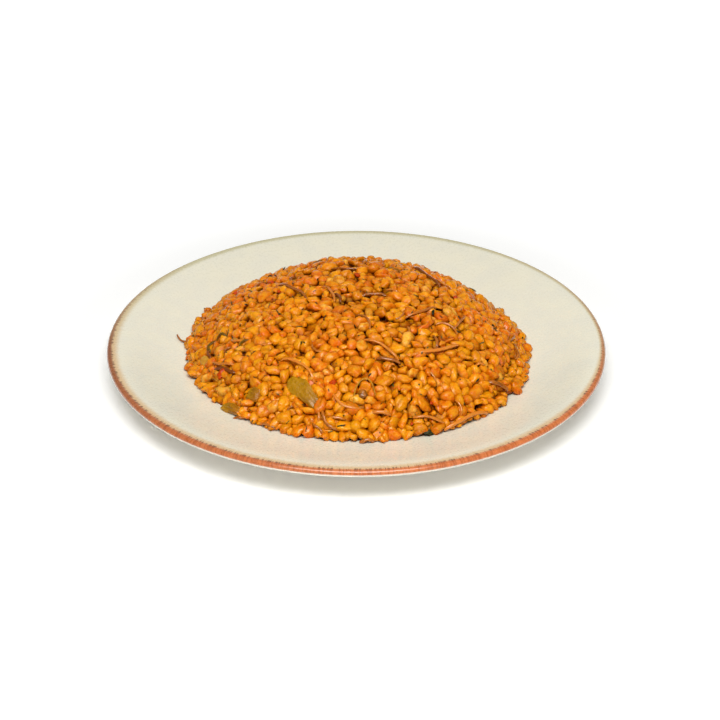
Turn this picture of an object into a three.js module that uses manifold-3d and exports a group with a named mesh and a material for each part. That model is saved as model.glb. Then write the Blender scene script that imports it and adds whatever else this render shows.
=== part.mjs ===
// A round stoneware plate with a domed heap of bulgur pilaf on it.
// Millimetres, +Z up. The origin is under the middle of the plate, on the plane of its foot ring,
// and the diner sits on the -Y side. The heap is one solid: a core whose whole surface is grain-sized
// humps, with whole grains and browned vermicelli fused on. Three cuts of green pepper lie on the core.
import * as THREE from "three";
import { mergeVertices } from "three/addons/utils/BufferGeometryUtils.js";
import Module from "manifold-3d";

const wasm = await Module();
wasm.setup();

// ---- Plate: a coupe plate with a flat floor, a shallow rising border and a foot ring ----
const PLATE = {
  radius: 130,
  height: 20,
  floorTop: 8, // the flat floor, above the table
  floorRadius: 72, // where the border starts to rise
  borderPower: 1.8, // how late the border steepens
  borderEase: 0.25, // how much it flattens again towards the lip
  wall: 4.4,
  lip: 1.8, // radius of the rounded edge
  footOuter: 80,
  footInner: 74,
  footHeight: 3,
  footFlare: 2.5, // how far the foot ring spreads upwards and inwards
  segments: 64,
};

// ---- Heap: its bare core, before the grains that stand out of it ----
const HEAP = {
  radius: 90.6,
  height: 36.2,
  power: 3.1, // 2 would be a paraboloid; more gives a flatter top and a steeper edge
  centreY: 1.5,
  lean: 0.07, // the right side is that much fuller
  outline: [
    { waves: 2, cos: 0, sin: -0.022 },
    { waves: 3, cos: 0, sin: -0.005 },
  ],
};
const GAP = 0.4; // between the heap or a topping and what it lies on

// ---- Grains ----
const HUMPS = 850; // grain-sized humps that cover the core
const HUMP_RISE = [1.3, 2.5]; // how far a grain's back stands out of the core
const GRAIN = { length: 6.4, width: 4.4, thickness: 3.6 };
const LOOSE_ON_TOP = 6; // whole grains on the dome
const LOOSE_AT_FOOT = 18; // whole grains that lie on the plate against its foot

// ---- Browned vermicelli: plan place, heading in degrees, length along the strand, and how far it bows ----
const STRAND_RADIUS = 0.9;
const STRANDS = [
  { x: 33, y: -17, heading: 37, length: 20, bow: -1.1 },
  { x: 46, y: -27, heading: -13, length: 12, bow: 2 },
  { x: 53, y: -18, heading: 68, length: 16, bow: -0.7 },
  { x: 40, y: -43, heading: 30, length: 28, bow: -2.2 },
  { x: 12, y: -48, heading: -35, length: 22, bow: 1.4 },
  { x: 38, y: 29, heading: -64, length: 30, bow: -2 },
  { x: -34, y: 9, heading: -56, length: 28, bow: 1.2 },
  { x: -15, y: 2, heading: -69, length: 18, bow: 1.8 },
  { x: -30, y: -56, heading: -42, length: 24, bow: 3.3 },
  { x: -69, y: -33, heading: -41, length: 16, bow: -0.7 },
  { x: -12.8, y: -81.2, heading: -48, length: 11, bow: -1.4 },
  { x: -5, y: -74, heading: -27, length: 16, bow: -2.3 },
  { x: 55, y: -72, heading: 35, length: 27, bow: 0.8 },
  { x: 36, y: -78, heading: 4, length: 16, bow: 0.6 },
];

// ---- Green pepper, cut into pieces that lie on the core; widths at the start and at the end ----
const PEPPERS = [
  { name: "pepper_strip", x: -26, y: -67, heading: -47, length: 22.5, widths: [9.5, 5.5], arch: 0.7 },
  { name: "pepper_square", x: -52, y: -59.5, heading: -28, length: 8.5, widths: [6.5, 5.5], arch: 0.4 },
  { name: "pepper_end", x: -63.5, y: -59.8, heading: -37, length: 14, widths: [4.2, 3.8], arch: 0.5 },
];
const PEPPER_THICKNESS = 1.6;
const PEPPER_MARGIN = 1; // no grain stands nearer to a piece of pepper than this

const COLOURS = {
  plate: 0xe6dfc6,
  pilaf: 0xe08a1c,
  pepper: 0x8c8a1c,
};

// ---- Shared arithmetic ----
function seeded(seed) {
  let state = seed;
  return () => {
    state = (state * 1664525 + 1013904223) % 4294967296;
    return state / 4294967296;
  };
}
const random = seeded(20);
const between = (low, high) => low + (high - low) * random();
const mix = (a, b, t) => a + (b - a) * t;
const turned = (x, y, angle) => [
  x * Math.cos(angle) - y * Math.sin(angle),
  x * Math.sin(angle) + y * Math.cos(angle),
];

// The plate's upper surface, as a height over the table, at a distance from its axis.
const borderEnd = PLATE.radius - PLATE.lip;
function plateTop(r) {
  const { borderPower: power, borderEase: ease } = PLATE;
  const out = Math.min(1, Math.max(0, r - PLATE.floorRadius) / (borderEnd - PLATE.floorRadius));
  const rise = (1 + ease) * out ** power - ease * out ** ((power * (1 + ease)) / ease);
  return PLATE.floorTop + (PLATE.height - PLATE.floorTop) * rise;
}

// The heap's footprint, as a radius about its own middle.
function heapReach(angle) {
  const wave = ({ waves, cos, sin }) => cos * Math.cos(waves * angle) + sin * Math.sin(waves * angle);
  return HEAP.radius * (1 + HEAP.outline.reduce((sum, w) => sum + wave(w), 0));
}

// The bare core's height over the table at a plan place; outside the footprint, the plate's.
function coreTop(x, y) {
  const away = Math.hypot(x, y - HEAP.centreY);
  const share = Math.min(1, away / heapReach(Math.atan2(y - HEAP.centreY, x)));
  const fuller = 1 + (HEAP.lean * x) / HEAP.radius;
  return plateTop(Math.hypot(x, y)) + GAP + HEAP.height * (1 - share ** HEAP.power) * fuller;
}

// The direction straight out of the core at a plan place.
function coreNormal(x, y) {
  const step = 0.5;
  const slopeX = (coreTop(x + step, y) - coreTop(x - step, y)) / (2 * step);
  const slopeY = (coreTop(x, y + step) - coreTop(x, y - step)) / (2 * step);
  return new THREE.Vector3(-slopeX, -slopeY, 1).normalize();
}

// A point on the core, or lifted off it.
function onCore(x, y, lift = 0) {
  return new THREE.Vector3(x, y, coreTop(x, y)).addScaledVector(coreNormal(x, y), lift);
}

// How far a plan place lies outside the nearest piece of pepper; negative over one.
function outsidePeppers(x, y) {
  const distances = PEPPERS.map((p) => {
    const [along, across] = turned(x - p.x, y - p.y, -THREE.MathUtils.degToRad(p.heading));
    return Math.max(Math.abs(along) - p.length / 2, Math.abs(across) - Math.max(...p.widths) / 2);
  });
  return Math.min(...distances);
}

// ---- Solids: between three.js geometries and manifold-3d ----
function toSolid(geometry) {
  const bare = new THREE.BufferGeometry();
  bare.setAttribute("position", geometry.getAttribute("position"));
  bare.setIndex(geometry.index);
  const merged = mergeVertices(bare, 1e-4);
  const vertProperties = new Float32Array(merged.attributes.position.array);
  const triVerts = new Uint32Array(merged.index.array);
  return new wasm.Manifold(new wasm.Mesh({ numProp: 3, vertProperties, triVerts }));
}

function toGeometry(solid) {
  const { vertProperties, triVerts } = solid.getMesh();
  const geometry = new THREE.BufferGeometry();
  geometry.setAttribute("position", new THREE.BufferAttribute(vertProperties, 3));
  geometry.setIndex(new THREE.BufferAttribute(triVerts, 1));
  geometry.computeVertexNormals();
  return geometry;
}

function fromTriangles(points, triangles) {
  const geometry = new THREE.BufferGeometry().setFromPoints(points);
  return geometry.setIndex(triangles.flat());
}

// A turned solid about +Z, from an outline of [radius, height] points that starts and ends on the axis.
function turnedSolid(outline, segments) {
  const profile = outline.map(([r, z]) => new THREE.Vector2(r, z));
  return new THREE.LatheGeometry(profile, segments).rotateX(Math.PI / 2);
}

// ---- The plate ----
function plateOutline() {
  const { height, wall, lip, footOuter, footInner, footHeight, footFlare } = PLATE;
  const under = (r) => plateTop(r) - wall;
  const recess = [0, footInner - footFlare].map((r) => [r, footHeight]);
  const foot = [[footInner, 0], [footOuter, 0], [footOuter + footFlare, under(footOuter + footFlare)]];
  const bowl = [98, 112, 124].map((r) => [r, under(r)]);
  const edge = [-50, -15, 20, 55, 90].map((degrees) => {
    const angle = THREE.MathUtils.degToRad(degrees);
    return [borderEnd + lip * Math.cos(angle), height - lip + lip * Math.sin(angle)];
  });
  const border = [120, 110, 98, 86, PLATE.floorRadius].map((r) => [r, plateTop(r)]);
  return [...recess, ...foot, ...bowl, ...edge, ...border, [0, PLATE.floorTop]];
}

// ---- The heap ----
// Delaunay triangles of points in a plane, made by adding the points one at a time.
function delaunay(sites) {
  const far = 20;
  const all = [...sites, [-far, -far], [far, -far], [0, far]];
  const circled = (corners) => {
    const [[ax, ay], [bx, by], [cx, cy]] = corners.map((i) => all[i]);
    const d = 2 * (ax * (by - cy) + bx * (cy - ay) + cx * (ay - by));
    const [a2, b2, c2] = [ax * ax + ay * ay, bx * bx + by * by, cx * cx + cy * cy];
    const x = (a2 * (by - cy) + b2 * (cy - ay) + c2 * (ay - by)) / d;
    const y = (a2 * (cx - bx) + b2 * (ax - cx) + c2 * (bx - ax)) / d;
    return { corners, x, y, reach: (ax - x) ** 2 + (ay - y) ** 2 };
  };
  let triangles = [circled([sites.length, sites.length + 1, sites.length + 2])];
  sites.forEach(([x, y], site) => {
    const rim = new Map();
    triangles = triangles.filter((t) => {
      if ((x - t.x) ** 2 + (y - t.y) ** 2 > t.reach) return true;
      t.corners.forEach((a, i) => {
        const b = t.corners[(i + 1) % 3];
        if (!rim.delete(`${b} ${a}`)) rim.set(`${a} ${b}`, [a, b]);
      });
      return false;
    });
    for (const [a, b] of rim.values()) triangles.push(circled([a, b, site]));
  });
  return triangles.filter((t) => t.corners.every((i) => i < sites.length));
}

// Spreads grains evenly over the dome: the share of the footprint's radius inside which a share of
// the dome's surface lies.
const surfaceShares = [0];
const SHARE_STEPS = 400;
for (let i = 1; i <= SHARE_STEPS; i++) {
  const share = (i - 0.5) / SHARE_STEPS;
  const slope = (HEAP.power * HEAP.height * share ** (HEAP.power - 1)) / HEAP.radius;
  surfaceShares.push(surfaceShares[i - 1] + share * Math.hypot(1, slope));
}
function radiusShare(surfaceShare) {
  const wanted = surfaceShare * surfaceShares[SHARE_STEPS];
  const i = Math.max(1, surfaceShares.findIndex((s) => s >= wanted));
  const part = (wanted - surfaceShares[i - 1]) / (surfaceShares[i] - surfaceShares[i - 1]);
  return (i - 1 + part) / SHARE_STEPS;
}

// A place in the unit disc, where grains are evenly spread, as a plan place on the heap.
function discToPlan(u, v) {
  const angle = Math.atan2(v, u);
  const r = radiusShare(Math.min(1, u * u + v * v)) * heapReach(angle);
  return [r * Math.cos(angle), HEAP.centreY + r * Math.sin(angle)];
}

// Where the grains sit in the unit disc: a jittered sunflower pattern, then a fence of sites just
// outside the disc, which ends the outermost grains' cells at the heap's foot.
function grainSites() {
  const goldenAngle = Math.PI * (3 - Math.sqrt(5));
  const spacing = Math.sqrt(Math.PI / HUMPS);
  const inside = 1 - spacing / 2;
  const sites = [];
  for (let i = 0; i < HUMPS; i++) {
    const r = inside * Math.sqrt((i + 0.5) / HUMPS);
    const jitter = () => between(-0.24, 0.24) * spacing;
    sites.push([r * Math.cos(i * goldenAngle) + jitter(), r * Math.sin(i * goldenAngle) + jitter()]);
  }
  const fence = 1 + spacing / 2;
  const fenceCount = Math.round((2 * Math.PI) / spacing);
  for (let i = 0; i < fenceCount; i++) {
    const angle = (i * 2 * Math.PI) / fenceCount;
    sites.push([fence * Math.cos(angle), fence * Math.sin(angle)]);
  }
  return sites;
}

// One grain's hump over its ring of valley points: a ridge along the ring's longest diagonal.
// Adds the ridge's two points, and returns the hump's triangles.
function hump(ring, points) {
  let [from, to] = [points[ring[0]], points[ring[1]]];
  for (const a of ring) {
    for (const b of ring) {
      if (points[a].distanceTo(points[b]) > from.distanceTo(to)) [from, to] = [points[a], points[b]];
    }
  }
  const along = to.clone().sub(from);
  const middle = ring.reduce((sum, i) => sum.add(points[i]), new THREE.Vector3());
  middle.divideScalar(ring.length);
  const covered = outsidePeppers(middle.x, middle.y) < PEPPER_MARGIN + GRAIN.length / 2;
  const rise = covered ? 0 : between(...HUMP_RISE);
  const half = between(0.16, 0.24);
  const ridge = [-half, half].map((share) => {
    const place = middle.clone().addScaledVector(along, share);
    place.z = Math.max(place.z, coreTop(place.x, place.y));
    place.addScaledVector(coreNormal(place.x, place.y), rise * between(0.85, 1.15));
    return points.push(place) - 1;
  });
  const nearEnd = (i) => ridge[points[i].clone().sub(middle).dot(along) < 0 ? 0 : 1];
  return ring.flatMap((a, i) => {
    const b = ring[(i + 1) % ring.length];
    const flank = [a, b, nearEnd(a)];
    return nearEnd(a) === nearEnd(b) ? [flank] : [flank, [b, nearEnd(b), nearEnd(a)]];
  });
}

// The core, closed below, with a hump for each grain. Valleys run where neighbouring grains meet.
function grainyCore() {
  const sites = grainSites();
  const valleys = delaunay(sites);
  const isFoot = (valley) => valley.corners.some((site) => site >= HUMPS);
  const points = valleys.map((valley) => {
    const away = Math.hypot(valley.x, valley.y);
    const grow = isFoot(valley) || away > 1 ? 1 / away : 1;
    return onCore(...discToPlan(valley.x * grow, valley.y * grow));
  });

  // The underside lies just over the plate: down the border, then flat across the floor.
  const floorLevel = PLATE.floorTop + GAP;
  const bottom = points.push(new THREE.Vector3(0, 0, floorLevel)) - 1;
  const inward = new Map();
  valleys.forEach((valley, index) => {
    if (!isFoot(valley)) return;
    const { x, y } = points[index];
    const shrink = PLATE.floorRadius / Math.hypot(x, y);
    inward.set(index, points.push(new THREE.Vector3(x * shrink, y * shrink, floorLevel)) - 1);
  });

  const rings = sites.slice(0, HUMPS).map(() => []);
  valleys.forEach((valley, index) => {
    for (const site of valley.corners) if (site < HUMPS) rings[site].push(index);
  });
  const triangles = [];
  rings.forEach((ring, site) => {
    const [x, y] = sites[site];
    const bearing = (i) => Math.atan2(valleys[i].y - y, valleys[i].x - x);
    ring.sort((a, b) => bearing(a) - bearing(b));
    triangles.push(...hump(ring, points));
    ring.forEach((a, i) => {
      const b = ring[(i + 1) % ring.length];
      if (!inward.has(a) || !inward.has(b)) return;
      const [c, d] = [inward.get(a), inward.get(b)];
      triangles.push([b, a, c], [b, c, d], [d, c, bottom]);
    });
  });
  return toSolid(fromTriangles(points, triangles));
}

// One whole grain: a lumpy ellipsoid lying on the core, sunk into it by a share of its thickness.
function wholeGrain(x, y, sunk) {
  const size = between(0.85, 1.12);
  const grain = new THREE.IcosahedronGeometry(0.5, 0);
  grain.scale(GRAIN.length * size, GRAIN.width * size, GRAIN.thickness * size);
  grain.rotateX(between(-0.4, 0.4));
  grain.rotateZ(between(0, Math.PI));
  const upright = new THREE.Vector3(0, 0, 1);
  grain.applyQuaternion(new THREE.Quaternion().setFromUnitVectors(upright, coreNormal(x, y)));
  const centre = onCore(x, y, GRAIN.thickness * size * (0.5 - sunk));
  grain.translate(centre.x, centre.y, centre.z);
  const corner = new THREE.Vector3();
  let short = 0; // how much nearer than the gap it comes to the plate
  for (let i = 0; i < grain.getAttribute("position").count; i++) {
    corner.fromBufferAttribute(grain.getAttribute("position"), i);
    short = Math.max(short, plateTop(Math.hypot(corner.x, corner.y)) + GAP - corner.z);
  }
  return toSolid(grain.translate(0, 0, short));
}

function looseGrains() {
  const grains = [];
  const add = (shareLow, shareHigh, angle, sunk) => {
    const r = between(shareLow, shareHigh) * heapReach(angle);
    const [x, y] = [r * Math.cos(angle), HEAP.centreY + r * Math.sin(angle)];
    if (outsidePeppers(x, y) > PEPPER_MARGIN + GRAIN.length / 2) grains.push(wholeGrain(x, y, sunk));
  };
  for (let i = 0; i < LOOSE_ON_TOP; i++) add(0.15, 0.85, i * 2.4, 0.1);
  for (let i = 0; i < LOOSE_AT_FOOT; i++) {
    add(0.97, 1, ((i + between(-0.3, 0.3)) * 2 * Math.PI) / LOOSE_AT_FOOT, 0);
  }
  return grains;
}

// A strand that follows the heap's surface, half sunk among the grains, with its ends dipping in.
function strand({ x, y, heading, length, bow }) {
  const steps = Math.max(4, Math.round(length / 3.4));
  const path = [];
  for (let i = 0; i <= steps; i++) {
    const share = (2 * i) / steps - 1;
    const across = bow * (1 - share * share);
    const angle = THREE.MathUtils.degToRad(heading);
    // The strand's run shortens in plan where the heap is steep.
    const slope = coreNormal(x, y).dot(new THREE.Vector3(Math.cos(angle), Math.sin(angle), 0));
    const [dx, dy] = turned((share * length * Math.sqrt(1 - slope * slope)) / 2, across, angle);
    path.push(onCore(x + dx, y + dy, mix(1.9, 0.8, share ** 4)));
  }
  const round = new THREE.Shape();
  for (let i = 0; i < 5; i++) {
    const [px, py] = turned(STRAND_RADIUS, 0, (i * 2 * Math.PI) / 5);
    if (i) round.lineTo(px, py);
    else round.moveTo(px, py);
  }
  const extrudePath = new THREE.CatmullRomCurve3(path);
  return toSolid(new THREE.ExtrudeGeometry(round, { steps, extrudePath, bevelEnabled: false }));
}

// Everything fused; a grain that came to lie clear of the heap is dropped.
function pilaf() {
  const fused = wasm.Manifold.union([grainyCore(), ...STRANDS.map(strand), ...looseGrains()]);
  const [heap] = fused.decompose().sort((a, b) => b.volume() - a.volume());
  return toGeometry(heap);
}

// ---- Pepper: a thin curved cut whose two faces are ruled alike, following the core below it ----
function pepper({ x, y, heading, length, widths, arch }) {
  const [columns, rows] = [8, 3];
  const angle = THREE.MathUtils.degToRad(heading);
  const points = [];
  for (const face of [0, PEPPER_THICKNESS]) {
    for (let i = 0; i <= columns; i++) {
      const along = (2 * i) / columns - 1;
      const width = mix(...widths, i / columns);
      const halfWidth = (width / 2) * (1 - 0.22 * along ** 4 + 0.06 * Math.sin(5 * along));
      for (let j = 0; j <= rows; j++) {
        const across = (2 * j) / rows - 1;
        const [dx, dy] = turned((along * length) / 2, across * halfWidth, angle);
        const crown = arch * (1 - across * across) + 0.2 * (1 + Math.sin(3.4 * along + 0.8));
        points.push(onCore(x + dx, y + dy, GAP + crown + face));
      }
    }
  }
  const perFace = points.length / 2;
  const at = (i, j, face) => face * perFace + i * (rows + 1) + j;
  const triangles = [];
  const quad = (a, b, c, d) => triangles.push([a, b, c], [a, c, d]);
  for (let i = 0; i < columns; i++) {
    for (let j = 0; j < rows; j++) {
      quad(at(i, j, 1), at(i + 1, j, 1), at(i + 1, j + 1, 1), at(i, j + 1, 1));
      quad(at(i, j + 1, 0), at(i + 1, j + 1, 0), at(i + 1, j, 0), at(i, j, 0));
    }
    quad(at(i, 0, 0), at(i + 1, 0, 0), at(i + 1, 0, 1), at(i, 0, 1));
    quad(at(i + 1, rows, 0), at(i, rows, 0), at(i, rows, 1), at(i + 1, rows, 1));
  }
  for (let j = 0; j < rows; j++) {
    quad(at(0, j + 1, 0), at(0, j, 0), at(0, j, 1), at(0, j + 1, 1));
    quad(at(columns, j, 0), at(columns, j + 1, 0), at(columns, j + 1, 1), at(columns, j, 1));
  }
  return toGeometry(toSolid(fromTriangles(points, triangles)));
}

// ---- Assembly ----
function named(name, geometry, material) {
  const mesh = new THREE.Mesh(geometry, material);
  mesh.name = name;
  return mesh;
}

const glazed = new THREE.MeshStandardMaterial({ color: COLOURS.plate, roughness: 0.3 });
const moistGrain = new THREE.MeshStandardMaterial({ color: COLOURS.pilaf, roughness: 0.4 });
const pepperSkin = new THREE.MeshStandardMaterial({ color: COLOURS.pepper, roughness: 0.35 });

const dish = new THREE.Group();
dish.add(named("plate", turnedSolid(plateOutline(), PLATE.segments), glazed));
dish.add(named("pilaf", pilaf(), moistGrain));
for (const piece of PEPPERS) dish.add(named(piece.name, pepper(piece), pepperSkin));

export default dish;
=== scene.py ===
import math

import bmesh
import bpy
import numpy as np
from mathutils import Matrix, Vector
from mathutils.kdtree import KDTree


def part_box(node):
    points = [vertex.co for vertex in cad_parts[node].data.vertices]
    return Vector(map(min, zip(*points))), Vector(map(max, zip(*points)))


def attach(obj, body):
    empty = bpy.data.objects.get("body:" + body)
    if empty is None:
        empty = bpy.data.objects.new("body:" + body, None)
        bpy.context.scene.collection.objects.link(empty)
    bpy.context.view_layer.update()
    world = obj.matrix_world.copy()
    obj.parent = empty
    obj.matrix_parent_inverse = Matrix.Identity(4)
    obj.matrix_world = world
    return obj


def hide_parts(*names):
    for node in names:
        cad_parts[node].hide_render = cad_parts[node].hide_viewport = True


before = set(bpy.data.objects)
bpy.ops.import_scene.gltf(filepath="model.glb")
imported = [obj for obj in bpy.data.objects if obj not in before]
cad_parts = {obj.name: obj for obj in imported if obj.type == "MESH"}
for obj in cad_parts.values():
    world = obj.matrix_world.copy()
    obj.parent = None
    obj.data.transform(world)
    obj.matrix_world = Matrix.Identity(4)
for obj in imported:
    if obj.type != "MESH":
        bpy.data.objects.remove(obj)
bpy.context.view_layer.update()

# ---- Plate -----------------------------------------------------------------------------------
# A stoneware coupe plate: a flat floor that rises in one soft curve to a rounded lip, on a turned
# foot ring. It is dipped in cream glaze, which runs thin over the lip and breaks to rusty brown
# there, in short streaks that point to the middle.
MM = 0.001
PLATE_RADIUS = 130 * MM
PLATE_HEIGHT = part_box("plate")[1].z
FLOOR_TOP = 8 * MM  # the flat floor, above the table
FLOOR_RADIUS = 72 * MM  # where the border starts to rise
BORDER_POWER = 1.8  # how late the border steepens
BORDER_EASE = 0.25  # how much it flattens again towards the lip
WALL = 4.4 * MM
LIP = 1.8 * MM  # radius of the rounded edge
FOOT_OUTER = 80 * MM
FOOT_INNER = 74 * MM
FOOT_HEIGHT = 3 * MM
FOOT_FLARE = 2.5 * MM
FOOT_ROUNDING = 0.9 * MM
FOOT_BEVEL = 0.6 * MM
FILLET_ENDS = 90.5 * MM  # how far out the foot's outer side has run into the bowl
BOWL_STARTS = 92.5 * MM
BOWL_ENDS = 124 * MM  # where the underside of the border meets the lip
BORDER_ENDS = 127.6 * MM  # and where its upper side does
INNER_FLOOR = 64 * MM  # the outermost ring of points on the flat floor
LIP_ARC = (-62, 90)  # degrees round the lip's middle, from the underside to the top
PLATE_SEGMENTS = 288
# Hand finishing leaves the plate a little out of round, and its lip a little up and down: so much
# twice round, so much more five times round. The drop keeps the highest point at the plate's height.
OUT_OF_ROUND = 0.0006
LIP_WAVER = 0.18 * MM
LIP_RIPPLE = 0.1 * MM
LIP_DROP = 0.28 * MM
STREAKS_AROUND = 150  # how fine the glaze's streaks are round the plate
STREAK_LENGTH = 6 * MM
# The band over the lip, by degrees from the right towards the back: how wide it is, how much rust
# it has and how much painted shade darkens that rust to brown. It is widest and most rusty at the
# front; the painted shade is deepest on the left. It is thin on the right and has no rust at the back.
BAND_STATIONS = [0, 30, 60, 100, 135, 160, 185, 225, 270, 315, 340, 360]
BAND_WIDTH = [0.25, 0.4, 0.7, 0.75, 0.8, 0.9, 1, 1, 1, 1, 0.6, 0.25]
BAND_RUST = [0.6, 0.2, 0, 0, 0, 0.35, 1, 1, 1, 1, 0.95, 0.6]
BAND_SHADE = [0.3, 0.3, 0, 0, 0.3, 0.8, 0.9, 0.35, 0.1, 0, 0, 0.3]
# How far into the band a point is, from 0 to 1, by its mm from the lip's top: inwards, for a band of
# full width, and outwards.
BAND_INSIDE = ([0, 1, 5.5], [0.58, 0.5, 0])
BAND_OUTSIDE = ([-3.4, -2.9, -1.4, 0], [1, 0.9, 0.75, 0.58])


def plate_top(r):
    """The plate's upper surface, as a height over the table, at a distance from its axis."""
    out = np.clip((r - FLOOR_RADIUS) / (PLATE_RADIUS - LIP - FLOOR_RADIUS), 0, 1)
    late = BORDER_POWER * (1 + BORDER_EASE) / BORDER_EASE
    rise = (1 + BORDER_EASE) * out**BORDER_POWER - BORDER_EASE * out**late
    return FLOOR_TOP + (PLATE_HEIGHT - FLOOR_TOP) * rise


def rounded(outline, reach):
    """An outline whose inner corners are cut back to short arcs of about that reach."""
    points = [outline[0]]
    for before, corner, after in zip(outline, outline[1:], outline[2:]):
        before, corner, after = (np.array(p, float) for p in (before, corner, after))
        start = corner + (before - corner) * min(0.5, reach / np.linalg.norm(before - corner))
        end = corner + (after - corner) * min(0.5, reach / np.linalg.norm(after - corner))
        for t in np.linspace(0, 1, 5):
            points.append((1 - t) ** 2 * start + 2 * t * (1 - t) * corner + t**2 * end)
    points.append(outline[-1])
    return [tuple(p) for p in points]


def plate_outline():
    """The turned outline in [radius, height], from the middle below, round the lip, to the middle
    above."""
    under_at = FOOT_OUTER + FOOT_FLARE
    foot = rounded(
        [
            (0, FOOT_HEIGHT),
            (FOOT_INNER - FOOT_FLARE, FOOT_HEIGHT),
            (FOOT_INNER + FOOT_BEVEL, 0),
            (FOOT_OUTER - FOOT_BEVEL, 0),
            (under_at, plate_top(under_at) - WALL),
            (FILLET_ENDS, plate_top(FILLET_ENDS) - WALL),
        ],
        FOOT_ROUNDING,
    )
    bowl = [(r, plate_top(r) - WALL) for r in np.linspace(BOWL_STARTS, BOWL_ENDS, 14)]
    edge_middle = (PLATE_RADIUS - LIP, PLATE_HEIGHT - LIP)
    edge = [
        (edge_middle[0] + LIP * math.cos(a), edge_middle[1] + LIP * math.sin(a))
        for a in np.radians(np.linspace(*LIP_ARC, 18))
    ]
    border = [(r, plate_top(r)) for r in np.linspace(BORDER_ENDS, FLOOR_RADIUS, 48)]
    floor = [(r, FLOOR_TOP) for r in np.linspace(INNER_FLOOR, 0, 9)]
    return np.array(foot + bowl + edge + border + floor)


def even_turn(count):
    """Angles that go once round in even steps."""
    return np.arange(count) * 2 * math.pi / count


def turned_faces(rings, around, first, low_tip, high_tip):
    """Faces of a closed round form. Its rings of points are numbered one by one from the first, and
    each end closes on a tip."""
    faces = []
    last = first + (rings - 1) * around
    for i in range(around):
        j = (i + 1) % around
        faces.append((low_tip, first + j, first + i))
        faces.append((high_tip, last + i, last + j))
        for k in range(rings - 1):
            low, high = first + k * around, first + (k + 1) * around
            faces.append((low + i, low + j, high + j, high + i))
    return faces


def solid(name, points, faces, material):
    """A smooth mesh object from its points and faces."""
    mesh = bpy.data.meshes.new(name)
    mesh.from_pydata(np.asarray(points).tolist(), [], [list(face) for face in faces])
    mesh.shade_smooth()
    mesh.materials.append(material)
    piece = bpy.data.objects.new(name, mesh)
    bpy.context.scene.collection.objects.link(piece)
    return piece


def paint(piece, name, colours):
    """Stores a colour for each point, which the material reads by that name."""
    layer = piece.data.attributes.new(name, "FLOAT_COLOR", "POINT")
    layer.data.foreach_set("color", np.asarray(colours, np.float32).ravel())


def linear(red, green, blue):
    """A colour given as it looks on a screen, 0 to 255, in the linear values that shaders take."""
    shares = [c / 255 for c in (red, green, blue)]
    return tuple(c / 12.92 if c < 0.04045 else ((c + 0.055) / 1.055) ** 2.4 for c in shares) + (1,)


def new_material(name):
    """A material with its nodes, its links and its shader."""
    material = bpy.data.materials.new(name)
    material.use_nodes = True
    nodes = material.node_tree.nodes
    return material, nodes, material.node_tree.links, nodes["Principled BSDF"]


def add_node(nodes, kind, **settings):
    """A node with its settings; keys that are sockets take their value there."""
    node = nodes.new(kind)
    for key, value in settings.items():
        if hasattr(node, key):
            setattr(node, key, value)
        else:
            node.inputs[key.replace("_", " ")].default_value = value
    return node


def feed(links, socket, value):
    """Links a socket to another one, or sets it to a value."""
    if isinstance(value, bpy.types.NodeSocket):
        links.new(value, socket)
    else:
        socket.default_value = value


def blend_colours(nodes, links, factor, first, second):
    """A Mix node between two colours, each a colour or a socket, by a factor socket or a number."""
    node = nodes.new("ShaderNodeMix")
    node.data_type = "RGBA"
    colour_a, colour_b = node.inputs[6], node.inputs[7]
    for socket, value in ((node.inputs["Factor"], factor), (colour_a, first), (colour_b, second)):
        feed(links, socket, value)
    return node.outputs[2]


def spread(nodes, links, source, low, high, to_low=0.0, to_high=1.0):
    """Maps a socket's range to another, smoothly and clamped."""
    node = nodes.new("ShaderNodeMapRange")
    node.interpolation_type = "SMOOTHSTEP"
    links.new(source, node.inputs["Value"])
    for key, value in (("From Min", low), ("From Max", high), ("To Min", to_low), ("To Max", to_high)):
        node.inputs[key].default_value = value
    return node.outputs["Result"]


def arithmetic(nodes, links, operation, first, second):
    """A Math node between two numbers, each a number or a socket."""
    node = nodes.new("ShaderNodeMath")
    node.operation = operation
    for socket, value in zip(node.inputs, (first, second)):
        feed(links, socket, value)
    return node.outputs[0]


def stray(nodes, links, noise, strength):
    """A noise that lies about a half, moved to lie about zero, at a strength."""
    centred = arithmetic(nodes, links, "SUBTRACT", noise, 0.5)
    return arithmetic(nodes, links, "MULTIPLY", centred, strength)


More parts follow.
